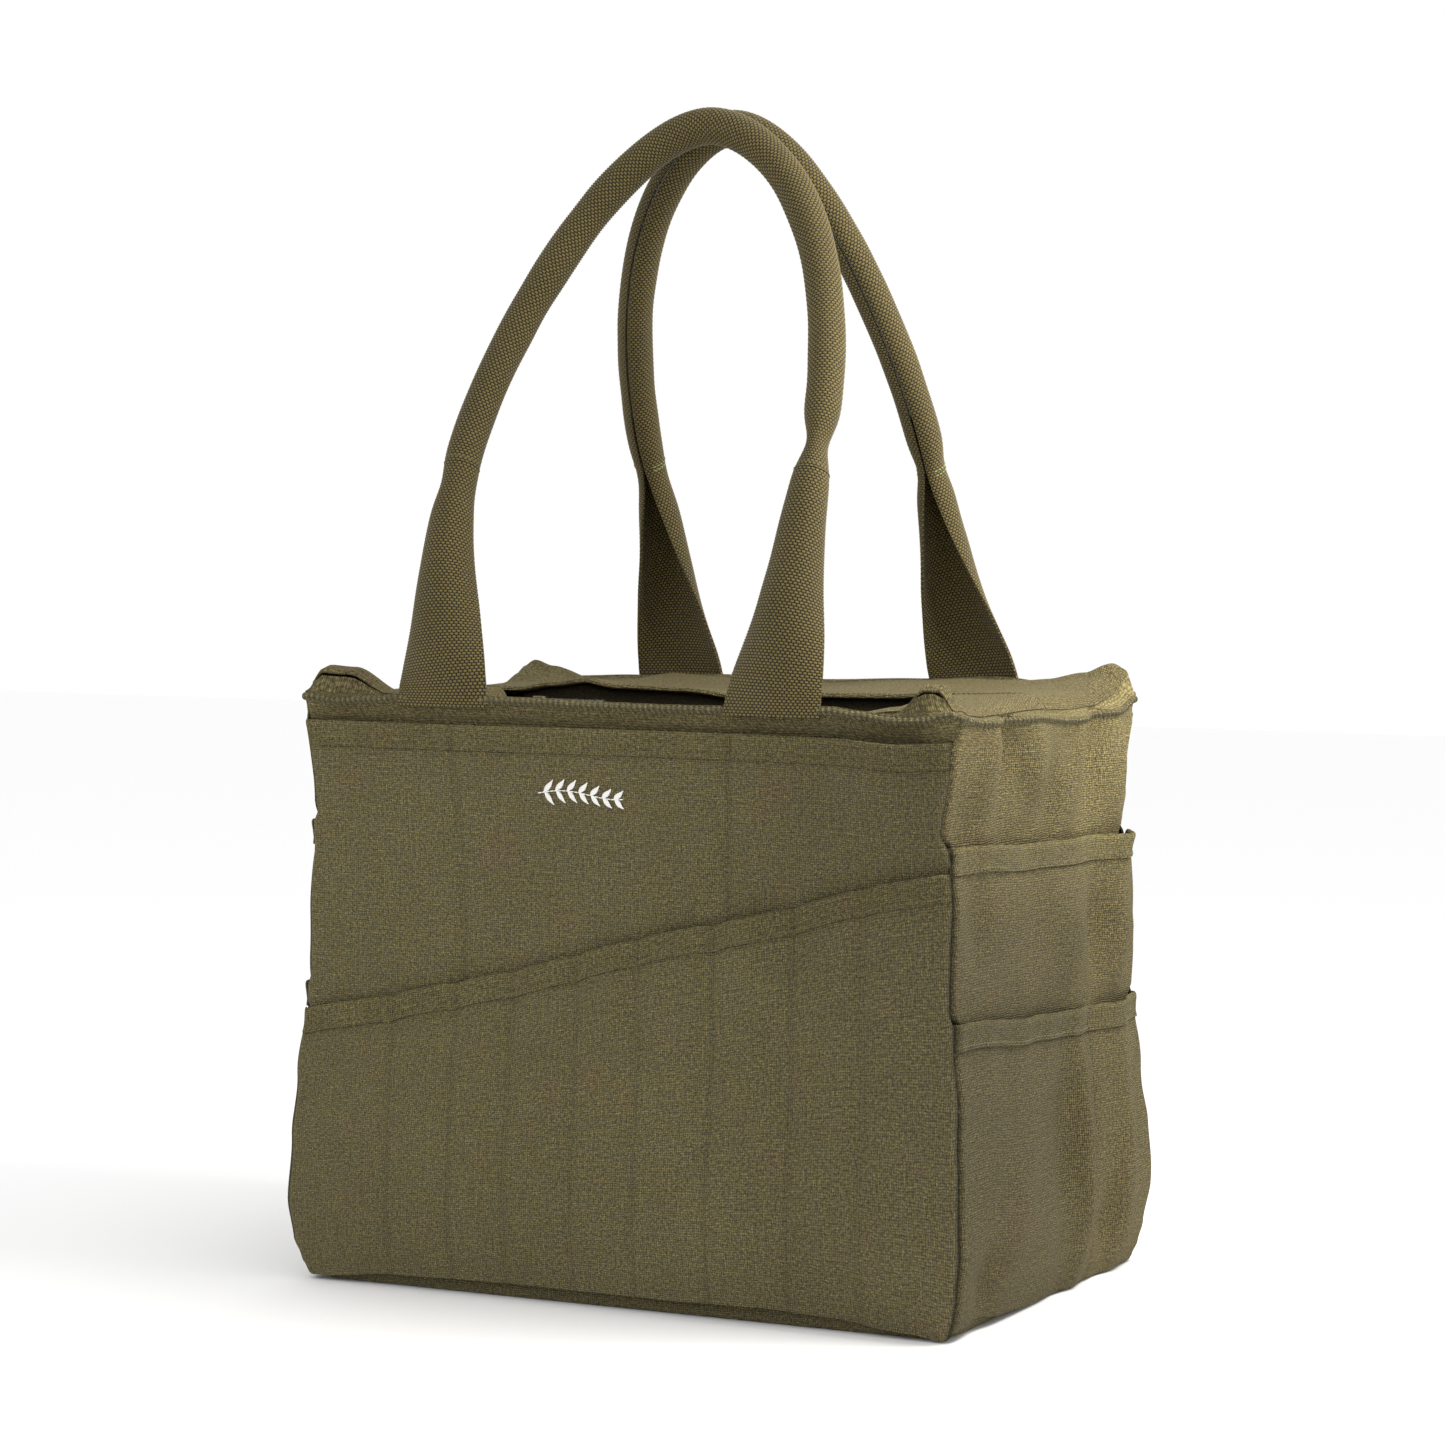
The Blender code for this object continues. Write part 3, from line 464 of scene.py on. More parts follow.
def canvas(name, colour, warm, pitch=0.0011, weave=0.74, shade_and_tone=True, sheen=0.12, coarse=1.0):
    """Plain-woven cotton: crossing yarns with painted shade between them, slubs, pale flecks and faint warm
    patches.
    """
    g = Graph(name, 0.92, sheen=sheen, specular=2 * sheen)
    g.fix(g.shader, {"Sheen Roughness": 0.6, "Sheen Tint": (0.8, 0.74, 0.55, 1.0)})
    (uv, u, v), place = g.uv(), g.place()
    wander = g.mul(g.math("SUBTRACT", g.noise(uv, 160.0, 1.0), 0.5), pitch * 1.6)
    wave_u = g.math("SINE", g.mul(g.add(u, wander), math.pi / pitch))
    wave_v = g.math("SINE", g.mul(g.math("SUBTRACT", v, wander), math.pi / pitch))
    over = g.math("GREATER_THAN", g.mul(wave_u, wave_v), 0.0)
    warp, weft = g.math("ABSOLUTE", wave_u), g.math("ABSOLUTE", wave_v)
    height = g.add(g.mul(warp, over), g.mul(weft, g.math("SUBTRACT", 1.0, over)))
    both = g.mul(g.add(height, g.mul(warp, weft)), 0.5)
    slub = g.add(*(g.noise(g.stretched(uv, *thin), 900.0, 2.0, 0.6) for thin in ((1.0, 0.05), (0.06, 1.0))))
    grain = g.noise(uv, 1350.0 / coarse, 3.0, 0.7)
    blot = g.ramp(g.noise(uv, 820.0 / coarse, 2.0, 0.7), 0.3, 0.7)
    broad = g.noise(place, 16.0, 3.0, 0.55)
    # the yarns' colour darker in the hollows between them and lighter on their crowns: painted shade and
    # highlight
    shade = g.add(1.0 - weave * 0.62, g.mul(both, weave))
    for base, amount, gain in ((0.35, slub, 0.65), (-0.3, grain, 2.6), (0.5, blot, 1.0), (0.88, broad, 0.24)):
        shade = g.mul(shade, g.add(base, g.mul(amount, gain)))
    # the per-point factor from the mesh, mostly painted light and shade
    if shade_and_tone:
        shade = g.mul(shade, g.node("ShaderNodeAttribute", attribute_name="shade_and_tone").outputs["Fac"])
    patch = g.ramp(g.noise(place, 34.0, 4.0, 0.6), 0.5, 0.72)
    fleck = g.ramp(g.noise(uv, 760.0 / coarse, 2.0, 0.65), 0.66, 0.78)
    lit = g.shaded(g.mix(g.mul(patch, 0.42), colour, warm), shade)
    g.colour(g.mix(g.mul(fleck, 0.42), lit, tuple(min(1.0, c * 2.3) for c in colour)))
    g.bump(g.add(both, g.mul(grain, 0.5)), 0.00075, 0.85)
    return g.material


def webbing(name, low, high):
    """Coarse basket webbing: staggered bumps, which the outer face also has in its mesh, and fine fibres;
    near black between the bumps as painted shade, light on their crowns as painted highlight.
    """
    g = Graph(name, 0.86, sheen=0.1)
    uv, u, v = g.uv()
    row = g.math("DIVIDE", v, ROW_PITCH)
    shift = g.mul(g.math("MODULO", g.math("FLOOR", row), 2.0), 0.5)
    across = g.math("SINE", g.mul(math.pi, g.add(g.math("DIVIDE", u, BUMP_PITCH), shift)))
    along = g.math("SINE", g.mul(math.pi, row))
    relief = g.mul(g.math("POWER", g.math("ABSOLUTE", across), 0.7),
                   g.math("POWER", g.math("ABSOLUTE", along), 0.5))
    strand = g.noise(g.stretched(uv, 0.35, 1.0), 5200.0, 2.0, 0.6)
    yarn = g.add(0.45, g.noise(uv, 520.0, 1.0, 0.5))
    # near black between the bumps, painted shade, and light on their crowns, painted highlight
    tint = g.mix(g.math("MULTIPLY", g.ramp(relief, 0.2, 0.85), yarn, clamp=True), low, high)
    broad = g.noise(g.place(), 26.0, 3.0, 0.5)
    g.colour(g.shaded(tint, g.add(0.62, g.add(g.mul(strand, 0.42), g.mul(broad, 0.34)))))
    g.bump(g.add(relief, g.mul(strand, 0.2)), 0.00045, 0.8)
    return g.material


def thread(name, colour, contrast=0.35):
    """Twisted sewing thread."""
    g = Graph(name, 0.75, sheen=0.15)
    strand = g.noise(g.place(), 2600.0, 2.0, 0.6)
    g.colour(g.mix(g.mul(strand, contrast * 2), tuple(c * (1 - contrast * 0.5) for c in colour),
                   tuple(min(1.0, c * (1 + contrast * 0.6)) for c in colour)))
    g.bump(strand, 0.0001, 0.6)
    return g.material


def metal(name, colour, roughness):
    """Plated metal with fine rubbing marks."""
    g = Graph(name, roughness, metallic=1.0, specular=0.5)
    rub = g.noise(g.place(), 900.0, 4.0, 0.6)
    g.colour(g.mix(rub, tuple(c * 0.75 for c in colour), colour))
    g.put(g.shader.inputs["Roughness"], g.add(roughness - 0.08, g.mul(rub, 0.2)))
    g.bump(rub, 0.00004, 0.5)
    return g.material


def plain(name, low, high, scale, roughness, bump=0.0001):
    """A finely mottled surface."""
    g = Graph(name, roughness)
    mottle = g.noise(g.place(), scale, 4.0, 0.6)
    g.colour(g.mix(mottle, low, high))
    g.bump(mottle, bump, 0.6)
    return g.material


OLIVE = canvas("olive_canvas", (0.13, 0.11, 0.045), (0.15, 0.102, 0.046), weave=0.82, coarse=1.15)
SIDE_OLIVE = canvas("olive_canvas_sides", (0.137, 0.113, 0.0485), (0.154, 0.106, 0.049), pitch=0.0012,
                    weave=0.84, sheen=0.07, coarse=1.3)
TRIM = canvas("olive_binding", (0.129, 0.109, 0.045), (0.142, 0.102, 0.046), weave=0.8, sheen=0.08,
              coarse=1.2)
WELT = canvas("olive_welt", (0.15, 0.126, 0.056), (0.15, 0.112, 0.052), pitch=0.0009)
INSIDE = canvas("lining_canvas", (0.044, 0.038, 0.019), (0.048, 0.037, 0.02), shade_and_tone=False)
STRAPS = webbing("olive_webbing", (0.006, 0.005, 0.002), (0.158, 0.122, 0.042))
SEWING = thread("olive_thread", (0.122, 0.103, 0.044))
WHITE = thread("white_thread", (0.86, 0.85, 0.81), 0.12)
GREEN = thread("light_green_thread", (0.25, 0.3, 0.12))
TAPE = canvas("zip_tape_twill", (0.019, 0.015, 0.008), (0.019, 0.015, 0.008), pitch=0.0007, shade_and_tone=False,
              sheen=0.02)
SILVER = metal("silver_metal", (0.86, 0.85, 0.82), 0.22)
TEETH = metal("dark_zip_teeth", (0.2, 0.19, 0.17), 0.35)
BOARD = plain("base_board_grey", (0.03, 0.03, 0.028), (0.06, 0.058, 0.052), 300.0, 0.7)
CORD = plain("filler_cord_cotton", (0.52, 0.5, 0.44), (0.68, 0.66, 0.6), 900.0, 0.9, 0.0004)


# painted light and shade: a factor by height on the bag's ends, and one along each side
PAINTED_LIGHT_UP = ((0.0, 0.68), (0.09, 0.58), (0.18, 0.63), (0.235, 0.94), (0.285, 1.22))
PAINTED_LIGHT_ALONG = {
    "front": ((-0.18, 1.0), (-0.05, 0.98), (0.04, 0.95), (0.11, 0.82), (0.18, 0.75)),
    "right": ((-0.12, 0.9), (0.0, 1.0), (0.07, 1.34), (0.12, 1.5)),
    "back": ((-0.18, 0.92), (0.18, 1.0)),
    "left": ((-0.12, 1.3), (0.12, 1.2)),
}


def painted_light(side, u, z):
    """Painted light and shade: the ends lighter toward the top, each side lighter or darker along its length.
    """
    up = table(z, PAINTED_LIGHT_UP) if side in ("right", "left") else 1.0 + 0.0 * z
    return table(u, PAINTED_LIGHT_ALONG[side]) * up


def finish_piece(obj, slot, body, *nodes):
    """Put a piece on its body and hide the frame's parts that it stands for."""
    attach(obj, body)
    if nodes:
        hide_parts(*nodes)
    return obj


# ---- the sewn top edge and the cover's height ----------------------------------------------------
FRONT_EDGE = ((-0.176, 0.0034), (-0.168, 0.002), (-0.155, 0.0), (-0.135, 0.0012), (-0.12, 0.0026),
              (-0.07, 0.0026), (-0.045, 0.0024), (-0.015, 0.0016), (0.03, 0.0012), (0.058, 0.0014),
              (0.07, 0.002), (0.1, 0.0022), (0.112, 0.0026), (0.126, 0.001), (0.142, -0.0012),
              (0.156, -0.0008), (0.168, 0.0022), (0.176, 0.0024))
BACK_EDGE = ((-0.176, 0.001), (-0.15, 0.0), (-0.11, 0.0015), (-0.06, 0.003), (0.0, 0.0018), (0.055, 0.0034),
             (0.1, 0.0056), (0.13, 0.003), (0.15, 0.002), (0.176, 0.0))
RIGHT_EDGE = ((-0.12, 0.0024), (-0.108, -0.001), (-0.08, -0.003), (-0.03, -0.0037), (0.03, -0.0076),
              (0.08, -0.0066), (0.12, -0.001))
LEFT_EDGE = ((-0.12, 0.003), (-0.1, -0.001), (-0.06, -0.004), (0.02, -0.006), (0.08, -0.004), (0.12, 0.001))
HEM = ((-0.17, 0.002), (-0.14, 0.001), (-0.122, 0.0008), (-0.105, 0.0042), (-0.085, 0.0062), (-0.067, 0.0032),
       (-0.03, 0.0026), (0.003, 0.0002), (0.055, 0.0024), (0.09, 0.0024), (0.11, 0.0042), (0.14, 0.0052),
       (0.17, 0.004))
BACK_RIDGE = ((-0.17, 0.0), (-0.1, 0.001), (-0.08, 0.005), (-0.04, 0.003), (0.0, 0.002), (0.06, 0.005),
              (0.09, 0.0066), (0.12, 0.004), (0.15, 0.006), (0.17, 0.004))
RIM_X, RIM_Y = 0.1668, 0.1116
# corner, height, and the profiles along |x| and |y|
EARS = (
    ((-1, -1), 0.0155, ((0.108, 0), (0.13, 0.22), (0.147, 0.95), (0.158, 1), (0.1655, 0.45), (0.169, 0)),
     ((0.06, 0), (0.085, 0.35), (0.099, 1), (0.1065, 0.92), (0.1116, 0))),
    ((1, -1), 0.0138, ((0.126, 0), (0.141, 0.22), (0.1495, 1), (0.155, 1), (0.163, 0.25), (0.168, 0)),
     ((0.076, 0), (0.092, 0.35), (0.102, 1), (0.107, 0.92), (0.1116, 0))),
    ((1, 1), 0.0118, ((0.095, 0), (0.132, 0.26), (0.146, 0.52), (0.156, 1), (0.162, 0.84), (0.168, 0.1)),
     ((0.06, 0), (0.09, 0.34), (0.102, 0.84), (0.107, 1), (0.1116, 0.4))),
    ((-1, 1), 0.01, ((0.132, 0), (0.148, 0.7), (0.156, 1), (0.162, 0.7), (0.168, 0)),
     ((0.08, 0), (0.095, 0.6), (0.103, 1), (0.107, 0.9), (0.1116, 0))),
)


def rim_height(side, u):
    """Height of the sewn edge, u metres along a side in its own X or Y."""
    knots = {"front": FRONT_EDGE, "back": BACK_EDGE, "right": RIGHT_EDGE, "left": LEFT_EDGE}[side]
    return TOP + table(u, knots)


def cover_height(x, y):
    """Height of the cover above the floor before its front half hangs."""
    dx, dy = np.maximum(RIM_X - np.abs(x), 0.0), np.maximum(RIM_Y - np.abs(y), 0.0)
    long_rim = np.where(y > 0, rim_height("back", x), rim_height("front", x))
    short_rim = np.where(x > 0, rim_height("right", y), rim_height("left", y))
    share = (dx + 1e-5) / (dx + dy + 2e-5)
    rim = long_rim * share + short_rim * (1 - share) - 0.001
    toward = np.clip(np.abs(y) / RIM_Y, 0, 1)
    sag = 0.0022 * np.sin(math.pi * toward)
    back = TOP + table(x, HEM) * (1 - toward) + table(x, BACK_RIDGE) * toward - sag
    front = TOP + table(x, HEM) * (1 - toward) + 0.0004 * toward
    inner = np.where(y > 0, back, front)
    height = rim + (inner - rim) * np.sin(math.pi / 2 * np.clip(np.minimum(dx, dy) / 0.012, 0, 1))
    flat = stack(x, y, 0.1 + 0 * x)
    height = height + smooth(np.minimum(dx, dy) / 0.03) * (
        0.0009 * noise(flat, 0.032, 11) + 0.0004 * noise(flat, 0.014, 12))
    for (sx, sy), tall, along, across in EARS:
        here = (np.sign(x) == sx) & (np.sign(y) == sy)
        height = height + here * tall * table(np.abs(x), along) * table(np.abs(y), across)
    return height


def hang(x):
    """1 where the front half of the cover hangs, 0 at the cover's ends."""
    return smooth((x - SLIT_START) / 0.026) * smooth((0.13 - x) / 0.03)


def cover_point(sign, x, s, out=0.0):
    """A point on the front (-1) or back (1) half of the cover, s metres in from its fold line."""
    x, s = np.broadcast_arrays(np.asarray(x, float), np.asarray(s, float))
    flat_y = sign * (FOLD_Y - s)
    z = cover_height(x, np.where(np.abs(flat_y) < 1e-4, sign * 1e-4, flat_y))
    if sign > 0:
        return lengthen(stack(x, flat_y, z + out), TOP)
    angle = DROOP * hang(x)
    reach = np.maximum(s, 0.0)
    y = -FOLD_Y + np.where(s > 0, s * np.cos(angle), s) + out * np.sin(angle)
    return lengthen(stack(x, y, z - reach * np.sin(angle) + out * np.cos(angle)), TOP)


# ---- base, walls, lining -------------------------------------------------------------------------
def spread(*parts, end):
    """Steps from each (start, count) to the next start."""
    stops = [start for start, _ in parts[1:]] + [end]
    steps = [np.linspace(start, stop, count)[:-1] for (start, count), stop in zip(parts, stops)]
    return np.append(np.concatenate(steps), end)


def panel_steps(columns, roll=7):
    """Places along a panel: its flat face, and the roll at each end."""
    return spread((-2, roll), (-1, columns), (1, roll), end=2)


def along_side(side, k, z):
    """A panel's places along its side, in the bag's own X or Y."""
    return np.clip(k, -1, 1) * face_half(side, z) * (1 if side in ("front", "right") else -1)


def loop_grid(levels, columns, place):
    """Rows of points round all four sides. place(side, k, z) gives the points of one row's side."""
    ks = panel_steps(columns)[:-1]
    return np.array([np.concatenate([place(side, ks, level) for side in ORDER]) for level in levels])


BASE_LONGER = 0.001                             # the bag's base, past the stiff outline's ends
BASE_RADIUS, BASE_IN, BAND = 0.014, 0.0042, 0.0082
BOARD_IN = 0.0032


def rounded(half_x, half_y, z):
    """A rectangle of points with round corners."""
    turns = np.linspace(0, math.pi / 2, 9)
    points = []
    for turn, (sx, sy) in enumerate(((1, 1), (-1, 1), (-1, -1), (1, -1))):
        t = turns + turn * math.pi / 2
        points.append(stack(sx * (half_x - BASE_RADIUS) + BASE_RADIUS * np.cos(t),
                            sy * (half_y - BASE_RADIUS) + BASE_RADIUS * np.sin(t), z))
    return np.concatenate(points)


def build_base():
    """The sewn base with its upright band, and the stiff board that lies in it."""
    x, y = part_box("base_panel")[1].xy
    rings = [rounded((x + BASE_LONGER) * share, y * share - 0.003, 0.0002) for share in (0.9, 0.97)]
    for z in (0.0004, 0.0016, 0.004, 0.0066, BAND):
        swell = 0.001 * math.sin(math.pi * z / BAND)
        rings.append(rounded(x + BASE_LONGER + swell, y - BASE_IN + swell, z))
    grid = np.array([resample_ring(ring, 360)[0] for ring in rings])
    rows, columns = grid.shape[:2]
    faces = grid_faces(rows, columns, True).tolist()
    faces += [(rows * columns, (i + 1) % columns, i) for i in range(columns)]
    uv = stack(np.linspace(0, 1.08, columns), grid[..., 2], 0)[..., :2].reshape(-1, 2)
    verts = np.concatenate([grid.reshape(-1, 3), [(0, 0, 0.0002)]])
    # the whole band a little darker: painted shade, under the pockets' overhang
    base = make_object("bag_base", verts, faces, np.concatenate([uv, [(0, 0)]]), np.full(len(verts), 0.82),
                       OLIVE)
    thick = base.modifiers.new("thickness", "SOLIDIFY")
    thick.thickness = 0.001
    thick.offset = -1.0
    finish_piece(base, "canvas", "root", "base_panel")

    low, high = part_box("base_board")
    rings = np.array([rounded(high.x - inset, high.y - BOARD_IN - inset, z) for inset, z in (
        (0.001, low.z), (0.0002, low.z + 0.0006), (0.0002, high.z - 0.0006), (0.001, high.z))])
    count = rings.shape[1]
    faces = grid_faces(4, count, True).tolist()
    faces += [list(range(count))[::-1], list(range(3 * count, 4 * count))]
    board = make_object("base_stiffener", rings.reshape(-1, 3), faces, material=BOARD, sharp=30.0)
    finish_piece(board, "board", "root", "base_board")


def build_walls():
    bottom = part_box("front_wall")[0].z
    levels = spread((bottom, 14), (0.2, 22), (0.262, 10), end=TOP)

    def place(side, k, z):
        lift = (rim_height(side, along_side(side, k, z)) - TOP) * smooth((z - 0.255) / 0.03)
        return around(side, k, z + lift, 0.0, "wall")

    wall = loop_grid(levels, 75, place)
    lip = []
    top = wall[-1]
    flat_x = shorten(top[:, 0])
    for step in (0.25, 0.6, 1.0):
        x = np.sign(flat_x) * np.minimum(np.abs(flat_x), RIM_X + 0.0008 - step * 0.0044)
        y = np.sign(top[:, 1]) * np.minimum(np.abs(top[:, 1]), RIM_Y + 0.0006 - step * 0.0044)
        z = cover_height(x, y)
        lip.append(lengthen(stack(x, y, z * step + top[:, 2] * (1 - step)), TOP))
    grid = np.concatenate([wall, np.array(lip)])
    # painted light and shade on the walls: the ends take the right end's factor, the long sides the front's,
    # a little darker
    shade_and_tone = np.where(np.abs(grid[..., 0]) > 0.16, painted_light("right", grid[..., 1], grid[..., 2]),
                    0.94 * painted_light("front", grid[..., 0], grid[..., 2]))
    walls = shell("bag_walls", grid, 0.0012, SIDE_OLIVE, shade_and_tone, loop=True)
    finish_piece(walls, "wall_canvas", "root", "front_wall", "back_wall", "left_wall", "right_wall")

    grid = loop_grid(np.linspace(bottom, 0.277, 30), 41,
                     lambda side, k, z: around(side, k, z, -0.0022, "lining"))
    lining = shell("bag_lining", grid, 0.0006, INSIDE, loop=True)
    finish_piece(lining, "lining", "root", "lining")


# ---- pockets -------------------------------------------------------------------------------------
RUNS = []                                       # stitches of all pockets, made into one piece at the end
DIP_WIDE = 0.003


def divider_dip(u, dividers, deep):
    """How far the sewn dividers pull the panel in."""
    dip = 0.0
    for place in dividers:
        gap = np.abs(u - place) / DIP_WIDE
        dip = dip - deep * (0.6 * np.exp(-gap) + 0.4 * np.exp(-((gap / 3) ** 2)))
    return dip


# where a mouth stands open: place along the side, half width, and how far
GAPES = {
    "front_upper": ((0.137, 0.012, 0.0042), (-0.01, 0.03, 0.0008)),
    "front_lower": ((0.073, 0.01, 0.0022), (0.032, 0.009, 0.0012), (-0.145, 0.009, 0.001)),
    "right_upper": ((0.09, 0.013, 0.006), (-0.03, 0.03, 0.0012)),
    "right_lower": ((0.08, 0.015, 0.004), (-0.02, 0.026, 0.0018)),
    "left_upper": ((-0.085, 0.02, 0.004),),
    "left_lower": ((0.01, 0.03, 0.003),),
    "back_upper": ((0.02, 0.03, 0.0012),),
    "back_lower": ((0.09, 0.03, 0.003), (-0.08, 0.03, 0.0024)),
}
# height of the lower row's bottom edge along each side: it sags over the base
LOW_EDGE = {
    "front": ((-0.175, 0.0008), (-0.155, 0.0022), (-0.125, 0.0062), (-0.06, 0.0076), (0.03, 0.0074),
              (0.08, 0.0082), (0.12, 0.0066), (0.145, 0.003), (0.162, 0.0004), (0.18, 0.0006)),
    "right": ((-0.12, 0.0008), (-0.1, 0.005), (-0.085, 0.0066), (-0.06, 0.0034), (-0.02, 0.0012),
              (0.12, 0.0008)),
    "back": ((-0.175, 0.001), (-0.13, 0.0058), (-0.04, 0.0074), (0.05, 0.0068), (0.13, 0.006),
             (0.175, 0.0008)),
    "left": ((-0.12, 0.001), (-0.07, 0.004), (0.0, 0.0066), (0.07, 0.005), (0.12, 0.001)),
}


def pocket_depth(name, u, z, top, dividers, deep, slack):
    """Depth of a pocket's panel outside the wall, with its dips at the dividers and its open mouths."""
    firm = 0.35 + 0.65 * smooth((z - 0.02) / 0.13)
    near = smooth(1 - (top - z) / 0.06)
    ripple = slack * near * (0.6 * np.sin(u * 95.0 + len(dividers)) + 0.4 * np.sin(u * 161.0 + 2.0))
    gape = sum(far * np.exp(-(((u - at) / wide) ** 2)) for at, wide, far in GAPES[name]) * near ** 1.5
    return layer_depth(name.split("_")[1], z, top) + divider_dip(u, dividers, deep) * firm + ripple + gape


def build_pocket(side, level, top_at, dividers, deep, slack, material, *nodes):
    """A pocket's panel, the binding over its mouth and its stitches."""
    name = side + "_" + level
    ks = panel_steps(170 if SIDES[side][1] else 120)
    half = face_half(side, 0.15)
    u = np.clip(ks, -1, 1) * half
    tops = top_at(u)

    def painted_shading(grid, width, dark, ends):
        """Painted light and shade on the cloth: lighter or darker along and up the side, and painted shade in
        the dips at the dividers and where the ends turn into the seams.
        """
        lines = sum((np.exp(-(((u - d) / width) ** 2)) for d in dividers), 0.0 * u)
        shade_and_tone = painted_light(side, u[None, :], grid[..., 2]) * (1 - dark * lines)[None, :]
        shade_and_tone[:, :len(ends)] *= ends
        shade_and_tone[:, -len(ends):] *= ends[::-1]
        return shade_and_tone

    bottom = table(u, LOW_EDGE[side]) if level == "lower" else 0.03 + 0 * u
    z = bottom + (tops - 0.0012 - bottom) * spread((0, 9), (0.12, 40), (0.8, 22), end=1)[:, None]
    depth = pocket_depth(name, u, z, tops, dividers, deep, slack)
    grid = around(side, ks, z, depth, level)
    if level == "lower":
        tuck = around(side, ks, z[:1] + 0.001, depth[:1] - 0.0034, level)
        grid = np.concatenate([tuck, grid])
    shade_and_tone = painted_shading(grid, 0.0011, 0.26, (0.3, 0.42, 0.7, 0.92))
    panel = shell(name + "_pocket_panel", grid, 0.0009, material, shade_and_tone)
    finish_piece(panel, "canvas", "root", name + "_pocket", *nodes)

    # the binding, from its sewn edge over the mouth and a little way down inside
    profile = [(0.0009, -BINDING), (0.0013, -BINDING * 0.97), (0.0011, -BINDING * 0.85),
               (0.0009, -BINDING * 0.72), (0.0012, -BINDING * 0.45), (0.0014, -BINDING * 0.22),
               (0.0013, -0.0016), (0.0009, -0.0006), (0.0001, 0.0), (-0.0008, -0.0005), (-0.0014, -0.0018),
               (-0.0018, -0.005), (-0.0018, -0.009)]
    ruffle = 0.00018 * np.sin(u * 420.0 + 3.0 * np.sin(u * 60))
    rows = []
    for out, drop in profile:
        depth = pocket_depth(name, u, np.minimum(tops + drop, tops - 0.0012), tops, dividers, deep, slack)
        rows.append(around(side, ks, tops + drop, depth + out + ruffle * (out > 0), level))
    grid = np.array(rows)
    shade_and_tone = painted_shading(grid, 0.0012, 0.24, (0.35, 0.55, 0.85))
    # painted shade along the binding's lower edge, and a little lighter along its fold over the mouth
    shade_and_tone *= np.array([0.6, 1.04] + [1.0] * 4 + [1.1] * 3 + [1.0] * 4)[:, None]
    binding = shell(name + "_binding", grid, 0.0007, TRIM, shade_and_tone)
    finish_piece(binding, "binding", "root", name + "_pocket_binding")

    def sew(place, height, lift, pitch):
        """Stitches along a line on the panel or its binding."""
        depth = pocket_depth(name, place, height, top_at(place), dividers, deep, slack) + lift
        line, above = (around(side, place / half, height, depth + out, level) for out in (0, 0.001))
        RUNS.extend(run_along(line, (above - line) / 0.001, pitch))

    line = np.linspace(-half, half, 260)
    sew(line, top_at(line) - BINDING + 0.0019, 0.00105, 0.0027)
    for divider in dividers:
        mouth = float(top_at(np.array([divider]))[0])
        sew(np.full(90, divider), np.linspace(0.016, mouth - BINDING - 0.001, 90), -0.00012, 0.0027)
        sew(np.full(6, divider), mouth + np.linspace(-BINDING + 0.0012, -0.0014, 6), 0.00125, 0.0024)


# height of a side pocket's mouth along it, from the front to the back of the bag
SIDE_UPPER = ((-0.13, 0.0052), (-0.09, 0.0036), (-0.02, -0.0004), (0.04, -0.0026), (0.09, -0.004),
              (0.13, -0.004))
SIDE_LOWER = ((-0.13, 0.007), (-0.1, 0.006), (-0.03, 0.0004), (0.03, -0.0028), (0.06, -0.004),
              (0.13, -0.0036))


def side_top(height, knots, way):
    return lambda u: height + table(u * way, knots)


def level_top(height, sway):
    return lambda u: height + sway * np.sin(u * 38.0 + 0.8) + sway * 0.6 * np.sin(u * 71.0)


def front_upper_top(u):
    """The upper row's mouth sags a little toward its right end."""
    return 0.2755 + table(u, ((-0.18, 0.0), (-0.09, -0.0002), (0.0, 0.0002), (0.06, 0.0), (0.11, -0.0006),
                              (0.14, -0.0022), (0.165, -0.0012), (0.18, -0.0008)))


def slanted_top(u):
    """The slanted row's mouth steps a little at each divider."""
    pull = sum(-0.001 * np.exp(-(((u - d) / 0.005) ** 2)) for d in FRONT_DIVIDERS)
    return FRONT_LOW + FRONT_SLOPE * u + 0.0009 * np.sin(u * 46.0 + 1.0) + pull


def build_pockets():
    ribs = [f"front_lower_divider_{i}" for i in range(1, 9)]
    ribs += ["front_lower_return_left", "front_lower_return_right"]
    build_pocket("front", "upper", front_upper_top, UPPER_DIVIDERS, 0.0013, 0.0006, OLIVE)
    build_pocket("front", "lower", slanted_top, FRONT_DIVIDERS, 0.001, 0.0007, OLIVE, *ribs)
    build_pocket("back", "upper", level_top(0.2755, 0.0004), UPPER_DIVIDERS, 0.0008, 0.0006, OLIVE)
    build_pocket("back", "lower", level_top(0.1736, 0.0005), (0.0,), 0.0014, 0.001, OLIVE)
    for side, way in (("right", 1), ("left", -1)):
        build_pocket(side, "upper", side_top(0.222, SIDE_UPPER, way), (), 0.0, 0.0016, SIDE_OLIVE)
        build_pocket(side, "lower", side_top(0.14, SIDE_LOWER, way), (0.05 * way,), 0.0026, 0.0016,
                     SIDE_OLIVE)


# ---- top edge ------------------------------------------------------------------------------------
WELT_COUNT, WELT_TURN = 2300, 0.003             # points along the welt, and the pitch of its thread


